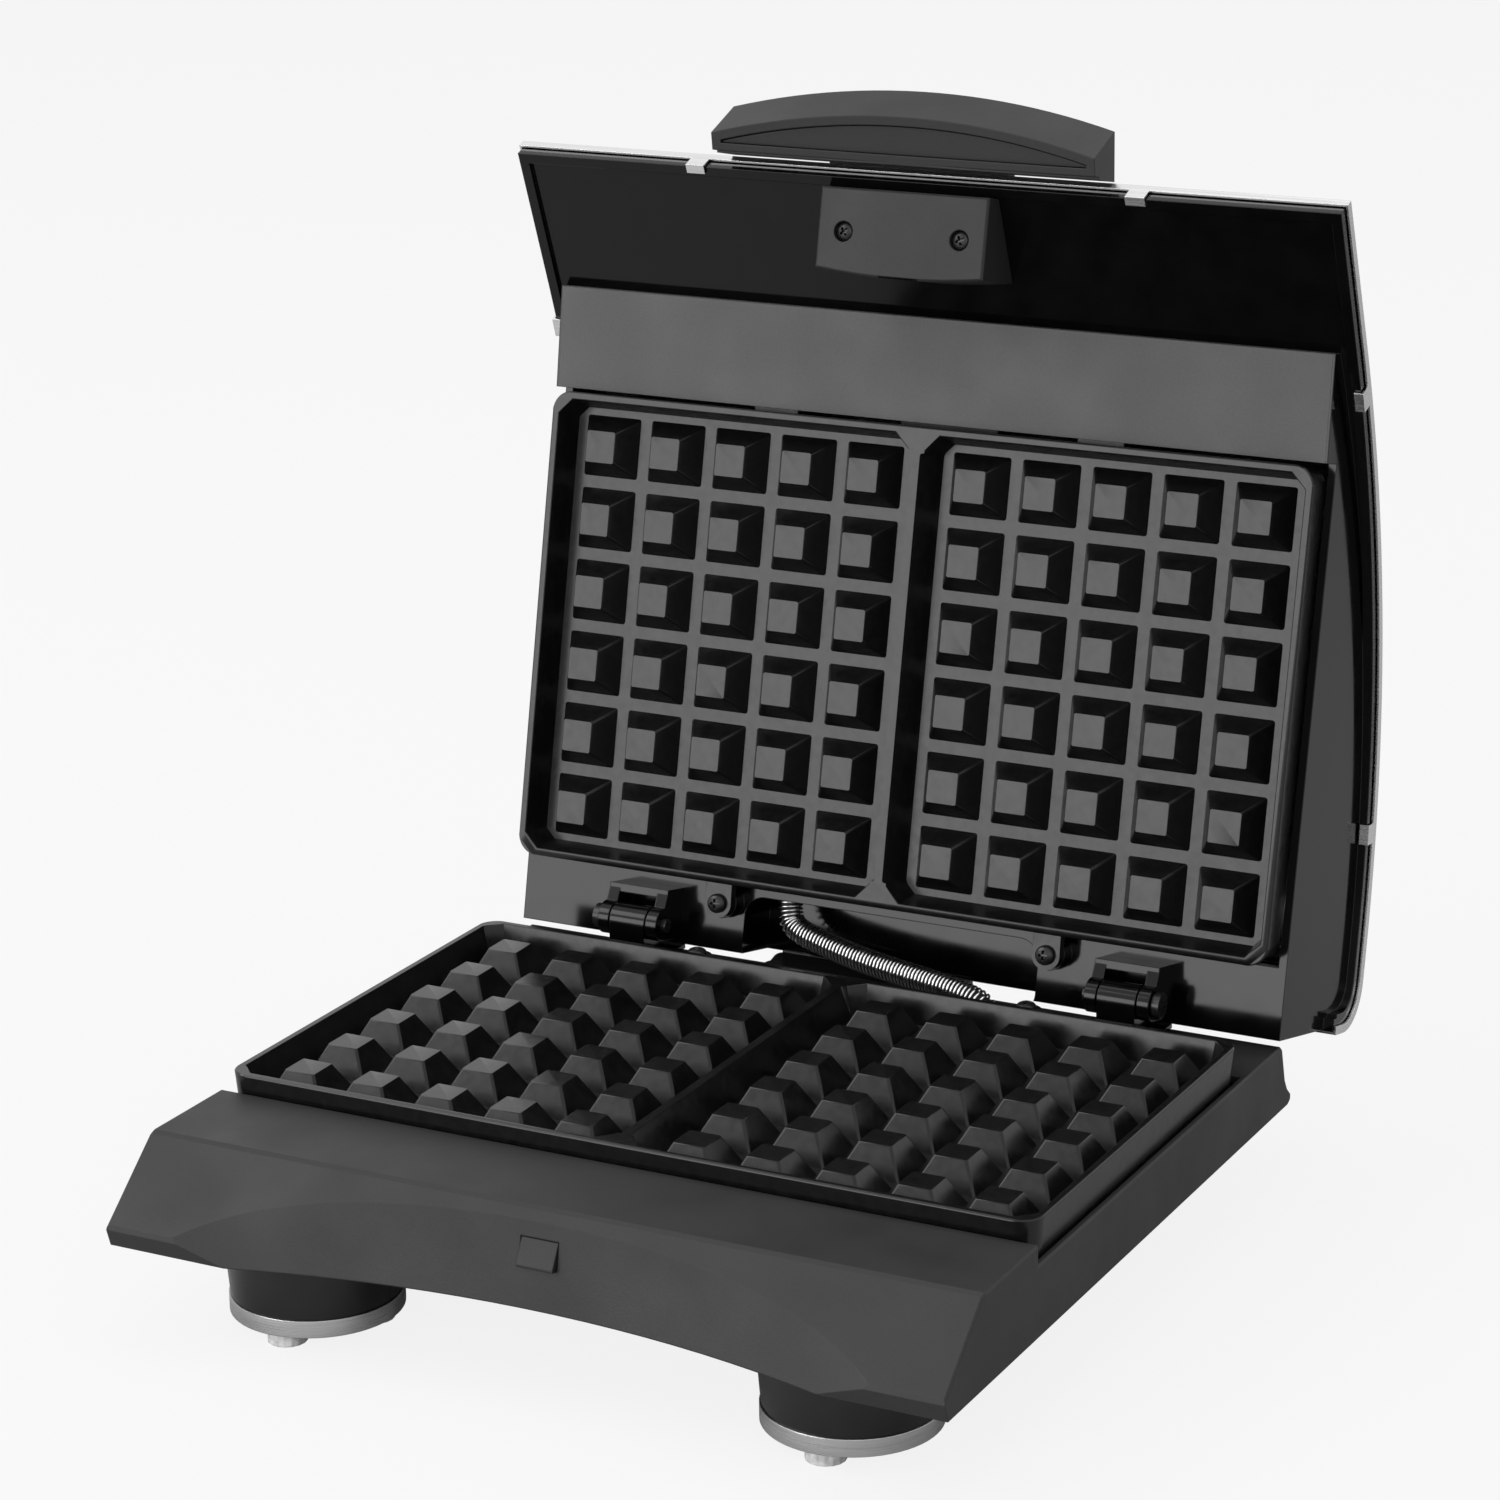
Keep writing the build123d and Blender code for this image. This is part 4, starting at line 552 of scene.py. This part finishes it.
# Shares of the head's radius or height: the straight rim, the tip's flat, and the recess with its taper
panHead = {"sides": 28, "rings": 5, "rim": 0.35, "tip": 0.02, "crossArm": 0.62, "crossWidth": 0.17,
           "crossDepth": 0.55, "crossTaper": 0.6, "crossTop": 1.2}


def makeHead(name, radius, height):
    # a pan head with a crossed recess, its underside at z = 0
    look = panHead
    work = bmesh.new()
    profile = [(radius, 0.0), (radius, height * look["rim"])]
    for step in range(1, look["rings"] + 1):
        angle = math.pi / 2 * step / look["rings"]
        share = look["rim"] + (1 - look["rim"]) * math.sin(angle)
        profile.append((radius * math.cos(angle), height * share))
    profile[-1] = (radius * look["tip"], height)
    turns = [2 * math.pi * k / look["sides"] for k in range(look["sides"])]
    loops = [[work.verts.new((r * math.cos(turn), r * math.sin(turn), z)) for turn in turns]
             for r, z in profile]
    closeLoops(work, loops)
    body = addObject(name, toMesh(work, name))
    work = bmesh.new()
    arm, half = radius * look["crossArm"], radius * look["crossWidth"]
    outline = [(arm, -half), (arm, half), (half, half), (half, arm), (-half, arm), (-half, half),
               (-arm, half), (-arm, -half), (-half, -half), (-half, -arm), (half, -arm), (half, -half)]
    top = [work.verts.new((x, y, height * look["crossTop"])) for x, y in outline]
    taper, depth = look["crossTaper"], 1 - look["crossDepth"]
    low = [work.verts.new((x * taper, y * taper, height * depth)) for x, y in outline]
    closeLoops(work, [low, top])
    cutter = addObject(name + "Cross", toMesh(work, name + "Cross"))
    cut = body.modifiers.new("cross", "BOOLEAN")
    cut.operation = "DIFFERENCE"
    cut.object = cutter
    cut.solver = "EXACT"
    done = meshOf(body)
    bpy.data.objects.remove(body)
    bpy.data.objects.remove(cutter)
    return addObject(name, done)


def screwTree():
    # one screw head on each point, standing along the point's way and turned by chance about it
    tree, given, leave = newTree("screwsOnPoints", [
        ("Screw", "NodeSocketObject", None), ("Seed", "NodeSocketInt", 3),
        ("Finish", "NodeSocketMaterial", None)])
    shape = addNode(tree, "GeometryNodeObjectInfo", {"As Instance": True}, {"Object": given["Screw"]})
    way = addNode(tree, "GeometryNodeInputNamedAttribute", {"Name": "way"}, data_type="FLOAT_VECTOR")
    stand = addNode(tree, "FunctionNodeAlignRotationToVector", {"Factor": 1.0},
                    {"Vector": way.outputs["Attribute"]}, axis="Z")
    spin = addNode(tree, "FunctionNodeRandomValue", {"Min": 0.0, "Max": math.pi}, {"Seed": given["Seed"]},
                   data_type="FLOAT")
    turn = addNode(tree, "FunctionNodeAxisAngleToRotation", {"Axis": (0, 0, 1)}, {})
    floatOut = [o for o in spin.outputs if o.enabled][0]
    tree.links.new(floatOut, turn.inputs["Angle"])
    rotation = addNode(tree, "FunctionNodeRotateRotation", {}, {
        "Rotation": stand.outputs["Rotation"], "Rotate By": turn.outputs["Rotation"]},
        rotation_space="LOCAL")
    points = addNode(tree, "GeometryNodeInstanceOnPoints", {}, {
        "Points": given["Geometry"], "Instance": shape.outputs["Geometry"],
        "Rotation": rotation.outputs["Rotation"]})
    endTree(tree, points.outputs["Instances"], given["Finish"], leave)
    return tree


screwPattern = screwTree()


def placeScrews(name, head, spots, body, seed, replaced):
    # spots are (place, direction that the head points in)
    mesh = bpy.data.meshes.new(name + "Points")
    mesh.from_pydata([tuple(place) for place, way in spots], [], [])
    ways = mesh.attributes.new("way", "FLOAT_VECTOR", "POINT")
    for entry, (place, way) in zip(ways.data, spots):
        entry.vector = way
    holder = addObject(name + "Points", mesh)
    piece = growPiece(name, holder, screwPattern, {
        "Screw": head, "Seed": seed, "Finish": finish["blackScrew"]})
    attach(piece, body)
    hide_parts(*replaced)


screwPlaces = {"handleX": 17.4, "handleForward": 119.2, "handleOut": 31.1, "handleSunk": 2.4,
               "handleBelow": 0.2, "handleHead": 5.3, "earX": 51.2, "earAway": 73.8, "earTop": 5.6,
               "plateHead": 5.6, "plateHeadHeight": 2.2, "handleSeed": 4, "upperSeed": 9, "lowerSeed": 6}


def makeScrews():
    s = screwPlaces
    towardsBase = lidWay(0, 1)
    handleHead = makeHead("handleHead", s["handleHead"] / 2 * mm, (s["handleSunk"] - s["handleBelow"]) * mm)
    plateHead = makeHead("plateHead", s["plateHead"] / 2 * mm, s["plateHeadHeight"] * mm)
    sides = (-1, 1)
    placeScrews("handleScrewHeads", handleHead,
                [(onLid(side * s["handleX"], s["handleForward"], s["handleOut"] - s["handleSunk"]),
                  towardsBase) for side in sides], "lid", s["handleSeed"], ["handle_screws"])
    placeScrews("upperPlateScrewHeads", plateHead,
                [(onLid(side * s["earX"], -s["earAway"], s["earTop"]), towardsBase) for side in sides],
                "lid", s["upperSeed"], ["upper_plate_screws"])
    placeScrews("lowerPlateScrewHeads", plateHead,
                [(onBase(side * s["earX"], s["earAway"], s["earTop"]), Vector((0, 0, 1)))
                 for side in sides], "base", s["lowerSeed"], ["lower_plate_screws"])
    bpy.data.objects.remove(handleHead)
    bpy.data.objects.remove(plateHead)


makeScrews()
print("screws placed")


# Lamps: name, place and size in m, power in W
studio = {"floorSize": 6.0, "floorColour": 0.62, "worldLight": 0.5, "shadowKept": 0.14,
          "lampAim": (0, 0, 0.12), "white": (1, 1, 1, 1),
          "lamps": [("keyLamp", (-1.5, -0.9, 1.6), 1.3, 18.0), ("fillLamp", (1.3, -1.7, 1.1), 1.2, 4.0),
                    ("topLamp", (0.1, 0.3, 2.0), 1.4, 8.0), ("frontLamp", (-0.78, -1.75, 0.3), 1.2, 18.0)]}


def mixToSurface(tree, share, first, second, endKind):
    mix = addNode(tree, "ShaderNodeMixShader")
    tree.links.new(share.outputs[0], mix.inputs[0])
    tree.links.new(first.outputs[0], mix.inputs[1])
    tree.links.new(second.outputs[0], mix.inputs[2])
    end = addNode(tree, endKind)
    tree.links.new(mix.outputs[0], end.inputs["Surface"])


def makeWorld():
    # dim light from all round, but white where the camera sees it, itself, mirrored or through glass
    world = bpy.data.worlds.new("studio")
    bpy.context.scene.world = world
    world.use_nodes = True
    tree = world.node_tree
    tree.nodes.clear()
    rays = addNode(tree, "ShaderNodeLightPath")
    seen = addNode(tree, "ShaderNodeMath", {}, {
        0: rays.outputs["Is Camera Ray"], 1: rays.outputs["Is Glossy Ray"]}, operation="MAXIMUM")
    clear = addNode(tree, "ShaderNodeMath", {}, {
        0: seen.outputs[0], 1: rays.outputs["Is Transmission Ray"]}, operation="MAXIMUM")
    dim = addNode(tree, "ShaderNodeBackground", {
        "Color": studio["white"], "Strength": studio["worldLight"]})
    white = addNode(tree, "ShaderNodeBackground", {"Color": studio["white"], "Strength": 1.0})
    mixToSurface(tree, clear, dim, white, "ShaderNodeOutputWorld")


def makeLamps():
    for name, place, size, power in studio["lamps"]:
        data = bpy.data.lights.new(name, "AREA")
        data.shape = "SQUARE"
        data.size = size
        data.energy = power
        lamp = addObject(name, data)
        lamp.location = place
        aim = Vector(studio["lampAim"]) - Vector(place)
        lamp.rotation_euler = aim.to_track_quat("-Z", "Y").to_euler()


def makeFloor():
    # a pale floor that the camera sees as white with a faint shadow
    half = studio["floorSize"] / 2
    mesh = bpy.data.meshes.new("floor")
    mesh.from_pydata([(-half, -half, 0), (half, -half, 0), (half, half, 0), (-half, half, 0)], [],
                     [(0, 1, 2, 3)])
    floor = addObject("floor", mesh)
    paint = bpy.data.materials.new("floorPaint")
    paint.use_nodes = True
    tree = paint.node_tree
    tree.nodes.clear()
    rays = addNode(tree, "ShaderNodeLightPath")
    matt = addNode(tree, "ShaderNodeBsdfDiffuse", {"Color": grey(studio["floorColour"])})
    glow = addNode(tree, "ShaderNodeEmission", {"Color": studio["white"], "Strength": 1.0})
    share = addNode(tree, "ShaderNodeMath", {1: 1 - studio["shadowKept"]},
                    {0: rays.outputs["Is Camera Ray"]}, operation="MULTIPLY")
    mixToSurface(tree, share, matt, glow, "ShaderNodeOutputMaterial")
    mesh.materials.append(paint)


makeWorld()
makeLamps()
makeFloor()
bpy.context.scene.view_settings.view_transform = "Standard"
print("studio lit")
